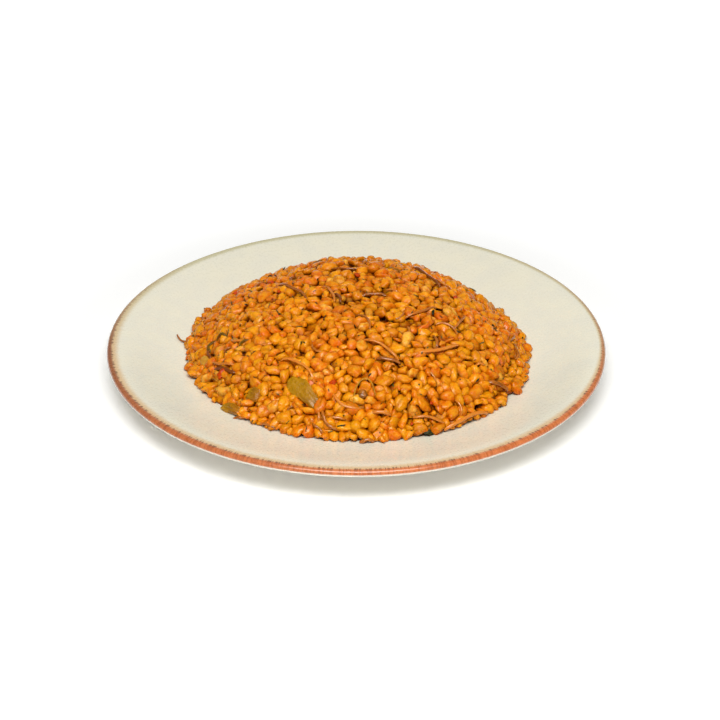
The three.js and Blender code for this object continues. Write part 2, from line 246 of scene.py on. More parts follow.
def glaze():
    """Cream glaze, with the rust that shows where it is thin. The mesh says where: red is how far the
    point is into the lip's band, green how much rust and blue how much painted shade darkens that rust
    to brown on that side."""
    material, nodes, links, shader = new_material("cream_glaze")
    object_place = add_node(nodes, "ShaderNodeTexCoord").outputs["Object"]
    painted = add_node(nodes, "ShaderNodeAttribute", attribute_name="lip_band")
    parts = add_node(nodes, "ShaderNodeSeparateColor")
    links.new(painted.outputs["Color"], parts.inputs[0])
    run, rusty, browner = parts.outputs

    # Short streaks along the radius: noise that is fine round the plate and coarse along the radius.
    polar = add_node(nodes, "ShaderNodeAttribute", attribute_name="streak_place")
    streaks = add_node(nodes, "ShaderNodeTexNoise", Scale=1.0, Detail=3.0, Roughness=0.6)
    links.new(polar.outputs["Vector"], streaks.inputs["Vector"])
    cloud = add_node(nodes, "ShaderNodeTexNoise", Scale=90.0, Detail=3.0)
    links.new(object_place, cloud.inputs["Vector"])
    speckle = add_node(nodes, "ShaderNodeTexNoise", Scale=700.0, Detail=2.0)
    links.new(object_place, speckle.inputs["Vector"])

    def times(first, second):
        return arithmetic(nodes, links, "MULTIPLY", first, second)

    cream = blend_colours(
        nodes, links, spread(nodes, links, cloud.outputs["Fac"], 0.35, 0.65),
        linear(229, 225, 207), linear(233, 228, 207))
    cream = blend_colours(
        nodes, links, spread(nodes, links, speckle.outputs["Fac"], 0.3, 0.75, 0.0, 0.13),
        cream, linear(208, 202, 182))

    ragged = arithmetic(nodes, links, "ADD", run, stray(nodes, links, streaks.outputs["Fac"], 0.3))
    tan = spread(nodes, links, ragged, 0.0, 0.46, 0.0, 0.85)
    tan_colour = blend_colours(nodes, links, rusty, linear(196, 186, 140), linear(208, 168, 112))
    colour = blend_colours(nodes, links, tan, cream, tan_colour)

    ticks = spread(nodes, links, streaks.outputs["Fac"], 0.42, 0.62)
    rust_colour = blend_colours(nodes, links, ticks, linear(206, 118, 66), linear(174, 90, 44))
    # Painted shade: the rust darkens to brown by the blue, most on the left side of the lip.
    rust_colour = blend_colours(nodes, links, browner, rust_colour, linear(142, 92, 62))
    rust = times(spread(nodes, links, ragged, 0.46, 0.56), rusty)
    colour = blend_colours(nodes, links, rust, colour, rust_colour)

    inner_edge = times(spread(nodes, links, run, 0.42, 0.48), spread(nodes, links, run, 0.6, 0.52))
    dashes = times(times(inner_edge, spread(nodes, links, streaks.outputs["Fac"], 0.5, 0.6)), rusty)
    colour = blend_colours(nodes, links, dashes, colour, linear(112, 76, 46))
    rustless = arithmetic(nodes, links, "SUBTRACT", 1.0, rusty)
    bare = times(spread(nodes, links, run, 0.66, 0.74), rustless)
    colour = blend_colours(nodes, links, bare, colour, linear(140, 118, 74))
    underside = spread(nodes, links, run, 0.88, 0.93)
    colour = blend_colours(nodes, links, underside, colour, linear(222, 216, 200))
    links.new(colour, shader.inputs["Base Color"])

    roughness = spread(nodes, links, speckle.outputs["Fac"], 0.3, 0.7, 0.24, 0.36)
    links.new(roughness, shader.inputs["Roughness"])
    shader.inputs["Coat Weight"].default_value = 0.25
    shader.inputs["Coat Roughness"].default_value = 0.12
    dimples = add_node(nodes, "ShaderNodeBump", Strength=0.12, Distance=0.0004)
    links.new(cloud.outputs["Fac"], dimples.inputs["Height"])
    links.new(dimples.outputs["Normal"], shader.inputs["Normal"])
    return material


def build_plate():
    """The turned plate, with what its glaze reads stored on its points."""
    outline = plate_outline()
    angles = even_turn(PLATE_SEGMENTS)
    ring_count = len(outline) - 2
    rings = outline[1:-1]
    # The border is a little uneven, most at the lip.
    share = (rings[:, 0] / PLATE_RADIUS) ** 4
    waver = LIP_WAVER * np.sin(2 * angles + 0.6) + LIP_RIPPLE * np.sin(5 * angles)
    points = [(0, 0, outline[0][1]), (0, 0, outline[-1][1])]
    for (r, z), s in zip(rings, share):
        radius = r * (1 - OUT_OF_ROUND * s * (1 + np.sin(3 * angles + 1)))
        height = z + s * (waver - LIP_DROP)
        points += list(zip(radius * np.cos(angles), radius * np.sin(angles), height))
    points = np.array(points)
    points[2:, 2] = np.maximum(points[2:, 2], 0)
    faces = turned_faces(ring_count, PLATE_SEGMENTS, 2, 0, 1)
    plate = solid("plate_body", points, faces, glaze())

    # How far each ring is into the band over the lip: 0 at the cream border, 0.5 where the rust
    # starts, 0.75 at the lip's middle and 0.9 where its cream underside starts.
    lengths = np.concatenate([[0], np.cumsum(np.linalg.norm(np.diff(outline, axis=0), axis=1))])
    inward = (lengths - lengths[np.argmax(outline[:, 1])]) / MM
    inward_of = np.concatenate([[inward[0], inward[-1]], np.repeat(inward[1:-1], PLATE_SEGMENTS)])
    angle_of = np.concatenate([[0, 0], np.tile(angles, ring_count)])
    facing = np.degrees(angle_of) % 360
    # The third row, browner, is painted shade on the rust, deepest on the left.
    width, rusty, browner = (
        np.interp(facing, BAND_STATIONS, row) for row in (BAND_WIDTH, BAND_RUST, BAND_SHADE))
    inner = np.maximum(inward_of, 0) / width
    band_of = np.where(
        inward_of > 0, np.interp(inner, *BAND_INSIDE), np.interp(inward_of, *BAND_OUTSIDE))
    colours = np.stack([band_of, rusty, browner, np.ones_like(band_of)], 1)
    paint(plate, "lip_band", colours)
    radius_of = np.hypot(points[:, 0], points[:, 1])
    streak = plate.data.attributes.new("streak_place", "FLOAT_VECTOR", "POINT")
    place = np.stack([
        STREAKS_AROUND * np.cos(angle_of),
        STREAKS_AROUND * np.sin(angle_of),
        radius_of / STREAK_LENGTH], 1)
    streak.data.foreach_set("vector", place.astype(np.float32).ravel())
    return plate


plate = build_plate()
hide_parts("plate")
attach(plate, "root")

# ---- Heap's form -----------------------------------------------------------------------------
# The pilaf was turned out and patted to a dome that runs down to the plate at about 45 degrees.
# Nothing of this shows: it is the form that the grains keep to.
HEAP_RADIUS = 92.4 * MM
HEAP_HEIGHT = 37.5 * MM
HEAP_POWER = 3.15  # 2 would be a paraboloid; more gives a flatter top and a steeper edge
HEAP_MIDDLE = 1.5 * MM  # towards the back
HEAP_LEAN = 0.07  # the right side is that much fuller
HEAP_OVAL = 0.022  # longer by that share from back left to front right, and shorter across that
HEAP_THREE_SIDED = 0.005  # and that share in and out again, three times round
SHELL = 8 * MM  # how deep the loose grains go before the core


def heap_reach(angle):
    """The heap's radius in a direction from its own middle."""
    return HEAP_RADIUS * (1 - HEAP_OVAL * np.sin(2 * angle) - HEAP_THREE_SIDED * np.sin(3 * angle))


def heap_top(x, y):
    """The height of the grains' backs over the table at a plan place; off the heap, the plate's."""
    away = np.hypot(x, y - HEAP_MIDDLE)
    share = np.minimum(1, away / heap_reach(np.arctan2(y - HEAP_MIDDLE, x)))
    fuller = 1 + HEAP_LEAN * x / HEAP_RADIUS
    return plate_top(np.hypot(x, y)) + HEAP_HEIGHT * (1 - share**HEAP_POWER) * fuller


def unit(vectors):
    """The same vectors, each of length 1."""
    return vectors / np.linalg.norm(vectors, axis=-1, keepdims=True)


def heap_normal(x, y):
    """The direction straight out of the heap's surface at a plan place."""
    step = 0.5 * MM
    slope_x = (heap_top(x + step, y) - heap_top(x - step, y)) / (2 * step)
    slope_y = (heap_top(x, y + step) - heap_top(x, y - step)) / (2 * step)
    return unit(np.stack([-slope_x, -slope_y, np.ones_like(slope_x)], -1))


def on_heap(x, y, lift=0.0):
    """Points on the heap's surface at plan places, lifted off it, as an array of rows."""
    x, y = np.asarray(x, float), np.asarray(y, float)
    point = np.stack([x, y, heap_top(x, y)], -1)
    return point + heap_normal(x, y) * np.asarray(lift)[..., None]


# ---- Vermicelli ------------------------------------------------------------------------------
# Thin wheat noodles, broken short and fried brown before the bulgur went in. Cooked, they are soft
# and slightly curved, and lie among the grains with their ends tucked in.
STRAND_RADIUS = 0.78 * MM
# Each strand that is seen singly: plan place, heading in degrees, length, how far it bows to its
# left, how high its middle stands over the grains' backs, all in mm, then how thick it is as a
# share of the others, and how pale from 0 to 1.
STRANDS = [
    (33, -16.4, 37, 20, -1.1, 0.6, 0.9, 0.5),
    (38, 31.2, -64, 30, -2.0, 0.5, 1.1, 0.1),
    (45.9, -26.6, -13, 12, 2.0, 0.6, 0.9, 0.5),
    (52.9, -17.5, 68, 16, -0.7, 0.7, 0.85, 0.5),
    (39.9, -38.8, -78, 9.6, 0.3, 0.4, 0.9, 0.35),
    (19.1, 3.9, -22, 8, -0.7, 0.3, 0.8, 0.7),
    (3.1, -27.6, -61, 15, 3.0, 0.2, 0.8, 0.5),
    (12.1, -47.8, -35, 22, 1.4, 0.8, 0.95, 0.75),
    (81.7, -3.5, 73, 14, -0.2, 0.2, 0.85, 0.5),
    (82.7, -13.9, -84, 12.5, 0.5, 0.3, 0.9, 0.45),
    (39.9, -42.7, 30, 28, -2.2, 1.0, 1.1, 1.0),
    (16.1, -54.8, -8, 12, 0.3, 0.4, 1.2, 0.3),
    (17, -57.9, 42, 4.5, 0.0, 0.8, 0.8, 0.9),
    (37.9, -58.8, -44, 6, -0.1, 0.4, 0.85, 0.75),
    (50.8, -69.1, -69, 9, 0.7, 0.5, 0.85, 0.7),
    (54.8, -72.3, 35, 27, 0.8, 0.9, 1.2, 1.0),
    (35.9, -78.1, 4, 16, 0.6, 0.6, 0.95, 0.75),
    (12.1, -79, -4, 9.5, 0.3, 0.4, 1.2, 0.85),
    (71.7, -47.2, 16, 12, -0.4, 0.2, 1.5, 0.4),
    (62.8, -41.9, 26, 5, 0.0, 0.3, 0.8, 0.8),
    (5.1, -89.2, 5, 7, 0.2, 0.2, 1.1, 0.5),
    (-29.7, -55.8, -42, 24, 3.3, 1.3, 0.85, 0.95),
    (-68.4, -33, -41, 16, -0.7, 0.6, 0.95, 0.7),
    (-67.4, -38, -43, 15, 0.5, 0.0, 1.3, 0.0),
    (-13.2, -80.6, -48, 12.5, -1.6, 0.9, 1.0, 0.5),
    (-18.7, -78, -74, 7.5, 0.2, 0.3, 0.9, 0.6),
    (-9.8, -80, -12, 9, -0.3, 0.5, 0.9, 0.65),
    (-4.8, -73.9, -27, 16, -2.3, 0.8, 0.9, 0.85),
    (-18.7, -83.1, -41, 8, 0.2, 0.3, 0.9, 0.4),
    (-59.4, -66.3, -19, 6, 0.2, 0.2, 0.9, 0.4),
    (-43.6, -75.7, -31, 8, 0.2, 0.2, 0.95, 0.4),
    (-32.6, -72, 13, 4, 0.0, 0.3, 0.8, 0.4),
    (-66.4, -25.9, 26, 5, 0.0, 0.3, 0.75, 0.4),
    (-76.4, -20, -79, 7, 0.0, -0.2, 0.9, 0.1),
    (-33.7, 10, -56, 28, 1.2, 0.5, 0.95, 0.38),
    (-14.8, 2.9, -69, 18, 1.8, 0.5, 0.9, 0.75),
    (-9.8, -2.3, -72, 10, 0.8, 0.2, 1.0, 0.15),
]
# The rest are scattered over the heap. These are the ranges of their heading, length, bow, lift,
# thickness and paleness, in the same units.
SCATTERED_STRANDS = 44  # before those at the front are thinned out
SCATTERED_RANGES = ((0, 360), (6, 17), (-2, 2), (-0.9, 0.2), (0.75, 1.05), (0.3, 0.9))
SCATTER_REACH = 0.93  # of the heap's radius
FRONT_ENDS = 20  # mm behind the plate's middle: nearer than this, only one in five is kept
GOLDEN_ANGLE = 2.399963  # radians from one to the next, which spread a spiral evenly
STRAND_SIDES = 10
STRAND_POINTS = 1.4  # for each mm of length
STRAND_WAVER = (0.1, 0.35)  # mm to either side
STRAND_RIPPLE = 0.15  # mm up and down
STRAND_BED = 0.3  # mm that all of them lie lower than their lift says
END_DIP = 1.5  # mm from the grains' backs down to a strand's ends
END_STUB = 0.6  # how far a strand's tip stands out past its last ring, as a share of its radius
GIRTH_WAVER = 0.07  # how unevenly thick a strand is
DRAW_SEED = 11
draw = np.random.default_rng(DRAW_SEED)


def strand_path(x, y, heading, length, bow, lift):
    """The line a strand follows, with its ends dipping between the grains."""
    angle = math.radians(heading)
    along = np.array([math.cos(angle), math.sin(angle)])
    left = np.array([-math.sin(angle), math.cos(angle)])
    normal = heap_normal(np.array(x * MM), np.array(y * MM))
    steep = math.sqrt(1 - float(normal[:2] @ along) ** 2)
    share = np.linspace(-1, 1, max(9, int(length * STRAND_POINTS)))
    wave = draw.uniform(*STRAND_WAVER) * np.sin(share * draw.uniform(3, 5) + draw.uniform(0, 6))
    run = share * length * steep / 2
    side = bow * (1 - share**2) + wave
    plan = np.array([x, y]) + run[:, None] * along + side[:, None] * left
    ends = np.abs(share) ** 5
    ripple = STRAND_RIPPLE * np.sin(share * 5 + draw.uniform(0, 6))
    height = (lift - STRAND_BED) * (1 - ends) - END_DIP * ends + ripple
    return on_heap(plan[:, 0] * MM, plan[:, 1] * MM, height * MM)


def scattered_strands(count):
    """More of them, evenly over the heap but few at its front, more deeply tucked in."""
    rows = []
    for i in range(count):
        share = math.sqrt((i + 0.5) / count) * SCATTER_REACH
        angle = i * GOLDEN_ANGLE + draw.uniform(-0.3, 0.3)
        r = share * heap_reach(angle) / MM
        x, y = r * math.cos(angle), HEAP_MIDDLE / MM + r * math.sin(angle)
        look = [draw.uniform(*ends) for ends in SCATTERED_RANGES]
        if y > FRONT_ENDS or i % 5 == 0:
            rows.append((x, y, *look))
    return rows


# One strand curls out over the plate on the left: its plan places and its heights over the plate,
# in mm, then how thick and how pale it is.
CURL = [
    (-95.5, 15, 1.6), (-94.4, 12.3, 1.0), (-92.4, 10.6, 0.8),
    (-90, 9.2, 1.8), (-87.7, 7.6, 3.2), (-83.3, 5.6, 5.0),
]
CURL_THICKNESS = 0.7
CURL_PALENESS = 0.35


def curl_path():
    """The line of the strand that curls out over the plate."""
    rows = np.array(CURL) * MM
    t, fine = np.linspace(0, 1, len(rows)), np.linspace(0, 1, 16)
    x, y, rise = (np.interp(fine, t, rows[:, c]) for c in range(3))
    return np.stack([x, y, plate_top(np.hypot(x, y)) + rise], 1)


def smooth_path(path, count):
    """The same line with its corners eased, in count points."""
    for _ in range(2):
        path = np.concatenate([path[:1], (path[:-2] + 2 * path[1:-1] + path[2:]) / 4, path[-1:]])
    at = np.linspace(0, 1, len(path))
    return np.stack([np.interp(np.linspace(0, 1, count), at, path[:, c]) for c in range(3)], 1)


strand_rows = STRANDS + scattered_strands(SCATTERED_STRANDS)
strand_paths = [strand_path(*row[:6]) for row in strand_rows] + [curl_path()]
strand_sizes = [STRAND_RADIUS * row[6] for row in strand_rows] + [STRAND_RADIUS * CURL_THICKNESS]
strand_tones = [row[7] for row in strand_rows] + [CURL_PALENESS]


def tube(path, radii, sides, squash):
    """Points and faces of a round-ended tube along a path. squash flattens its section."""
    direction = unit(np.gradient(path, axis=0))
    side = unit(np.cross(direction, heap_normal(path[:, 0], path[:, 1])))
    up = np.cross(side, direction)
    turn = even_turn(sides)[None, :, None]
    ring = side[:, None] * np.cos(turn) + up[:, None] * np.sin(turn) * squash
    points = path[:, None] + ring * radii[:, None, None]
    ends = [
        path[0] - direction[0] * radii[0] * END_STUB,
        path[-1] + direction[-1] * radii[-1] * END_STUB]
    tip = len(path) * sides
    faces = turned_faces(len(path), sides, 0, tip, tip + 1)
    return np.concatenate([points.reshape(-1, 3), ends]), faces


def tubes(paths, sizes, tones, sides, squash, taper):
    """Many tubes as one list of points and faces, with a tone for each point."""
    points, faces, shades = [], [], []
    start = 0
    for path, size, tone in zip(paths, sizes, tones):
        fine = smooth_path(path, 2 * len(path))
        along = np.linspace(-1, 1, len(fine))
        uneven = 1 + GIRTH_WAVER * np.sin(4 * along + draw.uniform(0, 6))
        radii = size * uneven * (1 - taper * along**6)
        own_points, own_faces = tube(fine, radii, sides, squash)
        points.append(own_points)
        faces += [[i + start for i in face] for face in own_faces]
        shades.append(np.full(len(own_points), tone))
        start += len(own_points)
    return np.concatenate(points), faces, np.concatenate(shades)


def wet_surface():
    """What every cooked surface here has: patches that are moister or drier, and fine wrinkles.
    Noodle, grain, pepper and tomato each use it at their own scale."""
    group = bpy.data.node_groups.new("wet_surface", "ShaderNodeTree")
    face = group.interface
    face.new_socket("Place", in_out="INPUT", socket_type="NodeSocketVector")
    for name, value in (("Patch Scale", 300.0), ("Wrinkle Scale", 1500.0), ("Wrinkles", 0.35),
                        ("Wettest", 0.3), ("Driest", 0.46)):
        face.new_socket(name, in_out="INPUT", socket_type="NodeSocketFloat").default_value = value
    for name in ("Patches", "Relief", "Roughness"):
        face.new_socket(name, in_out="OUTPUT", socket_type="NodeSocketFloat")
    nodes, links = group.nodes, group.links
    given, out = nodes.new("NodeGroupInput"), nodes.new("NodeGroupOutput")
    patches = add_node(nodes, "ShaderNodeTexNoise", Detail=4.0, Roughness=0.6)
    wrinkles = add_node(nodes, "ShaderNodeTexNoise", Detail=3.0, Roughness=0.6)
    for noise, scale in ((patches, "Patch Scale"), (wrinkles, "Wrinkle Scale")):
        links.new(given.outputs["Place"], noise.inputs["Vector"])
        links.new(given.outputs[scale], noise.inputs["Scale"])
    links.new(patches.outputs["Fac"], out.inputs["Patches"])
    fine = arithmetic(nodes, links, "MULTIPLY", wrinkles.outputs["Fac"], given.outputs["Wrinkles"])
    links.new(arithmetic(nodes, links, "ADD", patches.outputs["Fac"], fine), out.inputs["Relief"])
    wet = nodes.new("ShaderNodeMapRange")
    links.new(patches.outputs["Fac"], wet.inputs["Value"])
    wet.inputs["From Min"].default_value, wet.inputs["From Max"].default_value = 0.3, 0.7
    links.new(given.outputs["Wettest"], wet.inputs["To Min"])
    links.new(given.outputs["Driest"], wet.inputs["To Max"])
    links.new(wet.outputs["Result"], out.inputs["Roughness"])
    return group


WET_SURFACE = wet_surface()
OIL_ROUGHNESS = 0.14


def wet_material(name, relief_depth, specular, flesh, **settings):
    """A material with the wet surface's relief and roughness. flesh is how much light goes through,
    and how far it spreads in mm for red, green and blue."""
    material, nodes, links, shader = new_material(name)
    place = add_node(nodes, "ShaderNodeTexCoord").outputs["Object"]
    wet = nodes.new("ShaderNodeGroup")
    wet.node_tree = WET_SURFACE
    links.new(place, wet.inputs["Place"])
    for key, value in settings.items():
        wet.inputs[key.replace("_", " ")].default_value = value
    bump = add_node(nodes, "ShaderNodeBump", Strength=1.0, Distance=relief_depth)
    links.new(wet.outputs["Relief"], bump.inputs["Height"])
    links.new(bump.outputs["Normal"], shader.inputs["Normal"])
    links.new(wet.outputs["Roughness"], shader.inputs["Roughness"])
    shader.inputs["Specular IOR Level"].default_value = specular
    share, red, green, blue = flesh
    shader.inputs["Subsurface Weight"].default_value = share
    shader.inputs["Subsurface Radius"].default_value = (red, green, blue)
    shader.inputs["Subsurface Scale"].default_value = MM
    return material, nodes, links, shader, wet.outputs["Patches"]


def tone_of(nodes, links):
    """The red, green and blue that the mesh gives under the name tone."""
    tone = add_node(nodes, "ShaderNodeAttribute", attribute_name="tone")
    parts = add_node(nodes, "ShaderNodeSeparateColor")
    links.new(tone.outputs["Color"], parts.inputs[0])
    return parts.outputs


def two_tone(name, dark, light, wander, oil=0.0, **look):
    """A wet material from dark to light by the mesh's tone, wandering with the patches, under a film
    of oil."""
    material, nodes, links, shader, patches = wet_material(name, **look)
    shader.inputs["Coat Weight"].default_value = oil
    shader.inputs["Coat Roughness"].default_value = OIL_ROUGHNESS
    share = arithmetic(
        nodes, links, "ADD", tone_of(nodes, links)[0], stray(nodes, links, patches, wander))
    colour = blend_colours(nodes, links, spread(nodes, links, share, 0, 1), dark, light)
    links.new(colour, shader.inputs["Base Color"])
    return material


def toned_piece(name, points, faces, tones, material, slot):
    """A piece of the heap whose tone runs from 0 to 1."""
    piece = solid(name, points, faces, material)
    paint(piece, "tone", np.stack([tones, tones, tones, np.ones_like(tones)], 1))
    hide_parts("pilaf")
    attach(piece, "root")
    return piece


fried_noodle = two_tone(
    "fried_noodle", linear(122, 60, 4), linear(214, 127, 36), 0.9, oil=0.55,
    relief_depth=0.00012, specular=0.3, flesh=(0.15, 1.0, 0.4, 0.15),
    Patch_Scale=260.0, Wrinkle_Scale=1800.0, Wettest=0.12, Driest=0.24)
strand_mesh = tubes(
    strand_paths, strand_sizes, strand_tones, STRAND_SIDES, squash=0.8, taper=0.25)
toned_piece("vermicelli", *strand_mesh, fried_noodle, "bulgur")

# ---- Green pepper ----------------------------------------------------------------------------
# Cuts of green pepper, cooked soft and olive. Each is a slip of flesh with its skin up: a long one
# at the front, a small square one, and an end piece low at the edge of the heap.

# The CAD solids give their places: plan place, heading, length, width at its start and at its end,
# thickness and arch, in mm.
PEPPERS = {
    "pepper_strip": (-25.7, -66.9, -47, 22.5, 9.2, 5.2, 1.4, 0.6),
    "pepper_square": (-51.5, -59.5, -28, 8.5, 6.5, 5.5, 1.4, 0.4),
    "pepper_end": (-62.9, -60.1, -37, 14, 4.0, 3.6, 1.4, 0.5),
}
PEPPER_TONES = {"pepper_strip": 0.55, "pepper_square": 0.4, "pepper_end": 0.4}
PEPPER_BROWNS = {"pepper_strip": 0.4, "pepper_square": 0.8, "pepper_end": 0.8}
PEPPER_BED = -1.8  # mm from the grains' backs down to what the pepper lies on
PEPPER_COLUMNS = 34
PEPPER_ROWS = 16


def cut_grid(columns, rows):
    """Places along and across a cut, each from -1 to 1."""
    return np.meshgrid(np.linspace(-1, 1, columns), np.linspace(-1, 1, rows), indexing="ij")


def pepper_points(x, y, heading, length, start, end, thickness, arch, columns, rows, face):
    """One face of a cut, as a grid of points: face 0 is the flesh below, 1 the skin above."""
    angle = math.radians(heading)
    along, across = cut_grid(columns, rows)
    width = (start + end) / 2 + along * (end - start) / 2
    # Its sides are torn a little ragged, and its ends are round.
    ragged = 0.06 * np.sin(5 * along + 2 * across) + 0.04 * np.sin(11 * along + x)
    half = width / 2 * (1 - 0.22 * along**4 + ragged)
    run = along * length / 2 * (1 - 0.08 * across**2 + 0.05 * np.sin(3 * across + y))
    dx = run * math.cos(angle) - across * half * math.sin(angle)
    dy = run * math.sin(angle) + across * half * math.cos(angle)
    # It is arched across and bent along, with fine ribs on its skin and its ends tucked in.
    crown = arch * (1 - across**2) + 0.35 * np.sin(3.4 * along + 0.8)
    ribs = 0.22 * np.sin(9 * across + 2 * along) + 0.12 * np.sin(7 * along + 4 * across)
    edge = np.clip(np.maximum(np.abs(along) ** 10, np.abs(across) ** 8), 0, 1)
    skin = face * (thickness * (1 - 0.3 * edge) + ribs)
    lift = PEPPER_BED + crown + skin - 0.9 * np.abs(along) ** 6
    return on_heap((x + dx) * MM, (y + dy) * MM, lift * MM).reshape(-1, 3)


def pepper_material():
    """Olive skin, lighter by the mesh's red and browner by its green; its blue marks the paler cut
    flesh."""
    material, nodes, links, shader, patches = wet_material(
        "cooked_pepper", relief_depth=0.0009, specular=0.2, flesh=(0.2, 0.9, 0.7, 0.2),
        Patch_Scale=260.0, Wrinkle_Scale=1000.0, Wrinkles=0.6, Wettest=0.16, Driest=0.36)
    tone = tone_of(nodes, links)
    share = arithmetic(nodes, links, "ADD", patches, tone[0])
    colour = blend_colours(nodes, links, spread(nodes, links, share, 0.6, 1.15),
                           linear(102, 76, 0), linear(170, 122, 0))
    colour = blend_colours(nodes, links, tone[1], colour, linear(182, 106, 0))
    colour = blend_colours(nodes, links, tone[2], colour, linear(200, 138, 10))
    links.new(colour, shader.inputs["Base Color"])
    shader.inputs["Coat Weight"].default_value = 0.4
    shader.inputs["Coat Roughness"].default_value = OIL_ROUGHNESS
    return material


def build_pepper(name, row, material):
    """A closed cut, its skin and flesh joined along all four sides."""
    columns, rows = PEPPER_COLUMNS, PEPPER_ROWS
    points = np.concatenate([pepper_points(*row, columns, rows, face) for face in (0, 1)])
    count = columns * rows

    def at(i, j, face):
        return face * count + i * rows + j

    faces = []
    for i in range(columns - 1):
        for j in range(rows - 1):
            faces.append((at(i, j, 1), at(i + 1, j, 1), at(i + 1, j + 1, 1), at(i, j + 1, 1)))
            faces.append((at(i, j + 1, 0), at(i + 1, j + 1, 0), at(i + 1, j, 0), at(i, j, 0)))
        side = rows - 1
        faces.append((at(i, 0, 0), at(i + 1, 0, 0), at(i + 1, 0, 1), at(i, 0, 1)))
        faces.append((at(i + 1, side, 0), at(i, side, 0), at(i, side, 1), at(i + 1, side, 1)))
    for j in range(rows - 1):
        end = columns - 1
        faces.append((at(0, j + 1, 0), at(0, j, 0), at(0, j, 1), at(0, j + 1, 1)))
        faces.append((at(end, j, 0), at(end, j + 1, 0), at(end, j + 1, 1), at(end, j, 1)))
    cut = solid(name + "_cut", points, faces, material)

    along, across = cut_grid(columns, rows)
    skin = np.full(along.shape, PEPPER_TONES[name]) - 0.25 * along
    browner = np.clip(0.45 + 0.5 * along, 0, 1) * PEPPER_BROWNS[name]
    rim = np.clip((np.abs(across) - 0.86) / 0.1, 0, 1) * 0.8
    upper = np.stack([skin, browner, rim, np.ones_like(skin)], -1).reshape(-1, 4)
    lower = upper.copy()
    lower[:, 2] = 0.9
    paint(cut, "tone", np.concatenate([lower, upper]))
    return cut


olive_skin = pepper_material()
for name, row in PEPPERS.items():
    cut = build_pepper(name, row, olive_skin)
    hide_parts(name)
    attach(cut, "root")

# ---- Skins and stems -------------------------------------------------------------------------
# What is left of the pepper's skin and the herbs' stems after long cooking: thin olive ribbons, one
# of them in a loop at the front, and short dark curls on the left.
SKIN_LOOP = [  # plan places in mm
    (-1.3, -75.4), (-2, -71.3), (-0.6, -67.9), (1.9, -64.4),
    (5.1, -63.5), (7.7, -64.9), (8.5, -68.4), (9.3, -72.3),
]
SKIN_LIFT = 0.5 * MM
SKIN_RADIUS = 0.42 * MM
SKIN_PALENESS = 0.7
STEM_SIDES = 8
# Plan place, heading, length, bow and lift as for the noodles, then radius in mm and paleness.
STEMS = [
    (-57.4, -27.5, 14, 7, 0.8, 0.4, 0.7, 0.2),
    (-74.5, -15.5, 60, 7, 2.2, 0.4, 0.9, 0.2),
    (-70.5, -12.4, -10, 6, 1.5, 0.4, 0.7, 0.2),
    (20, 32.9, -25, 8, 0.6, 0.0, 0.45, 0.4),
    (60, 28, 120, 9, 1.5, 0.0, 0.5, 0.5),
    (-20, 60, 200, 9, 1.8, 0.0, 0.5, 0.4),
]
loop = on_heap(*(np.array(SKIN_LOOP).T * MM), SKIN_LIFT * np.ones(len(SKIN_LOOP)))
stem_paths = [smooth_path(loop, 20)] + [strand_path(*row[:6]) for row in STEMS]
stem_sizes = [SKIN_RADIUS] + [row[6] * MM for row in STEMS]
stem_tones = [SKIN_PALENESS] + [row[7] for row in STEMS]
limp_skin = two_tone(
    "limp_skin", linear(92, 66, 2), linear(196, 130, 4), 0.7,
    relief_depth=0.00006, specular=0.2, flesh=(0.1, 0.8, 0.7, 0.2),
    Patch_Scale=400.0, Wrinkle_Scale=2000.0, Wettest=0.28, Driest=0.42)
stem_mesh = tubes(stem_paths, stem_sizes, stem_tones, STEM_SIDES, squash=0.55, taper=0.5)
toned_piece("skins_and_stems", *stem_mesh, limp_skin, "pepper")

# ---- Tomato, onion and spice -----------------------------------------------------------------
# The sauce's solids, all smaller than a grain or about its size: soft red crumbs of tomato, glassy
# slips of onion, a whole brown peppercorn at the front and a wilted leaf near it.

# Each is a lump: plan place, half length, half width, half thickness and depth of its middle, in mm.
TOMATO_LUMPS = [
    (-68.4, -39.6, 3.0, 1.8, 0.9, 0.2),
    (-11.8, -65.3, 2.0, 1.4, 0.8, 0.8),
    (0.4, 23.3, 1.9, 1.4, 0.8, 0.7),
    (36.9, -71.4, 1.0, 0.8, 0.6, 0.3),
    (27, -81.5, 1.0, 0.7, 0.5, 0.5),
    (-45.7, 27.6, 1.8, 1.2, 0.9, 0.7),
    (-40.7, 11, 1.2, 0.9, 0.7, 0.5),
    (51.9, 7.1, 1.5, 1.1, 0.8, 0.7),
    (21, 70, 2.2, 1.4, 1.0, 0.8),
    (-30, 64, 1.8, 1.3, 0.9, 0.8),
    (58.5, 55.5, 1.6, 1.2, 0.9, 0.8),
    (-65.8, 42.2, 2.0, 1.3, 0.9, 0.8),
]
ONION_LUMPS = [
    (-78.3, -23.6, 4.6, 2.6, 1.1, 1.1),
    (-62.5, -21.8, 3.0, 1.3, 0.9, 0.9),
    (44, 60, 4.0, 2.0, 1.0, 1.0),
]
PEPPERCORN = (3.1, -71.7, 2.5, 2.4, 2.2, 0.9)
WILTED_LEAF = (35.9, -82.8, 2.4, 1.4, 0.5, 1.3)
LEAF_HEADING = 26
LUMP_TILT = 0.15  # radians that a lump's length leans out of the surface, as a spread
LUMP_ROLL = 0.2


def ball(levels):
    """Points and triangles of an even ball of radius 1."""
    mesh = bmesh.new()
    bmesh.ops.create_icosphere(mesh, subdivisions=levels, radius=1)
    points = np.array([v.co for v in mesh.verts])
    faces = np.array([[v.index for v in f.verts] for f in mesh.faces])
    mesh.free()
    return unit(points), faces


def random_directions(*shape):
    """Directions that point all ways alike, as an array of that shape."""
    return unit(draw.normal(0, 1, shape + (3,)))


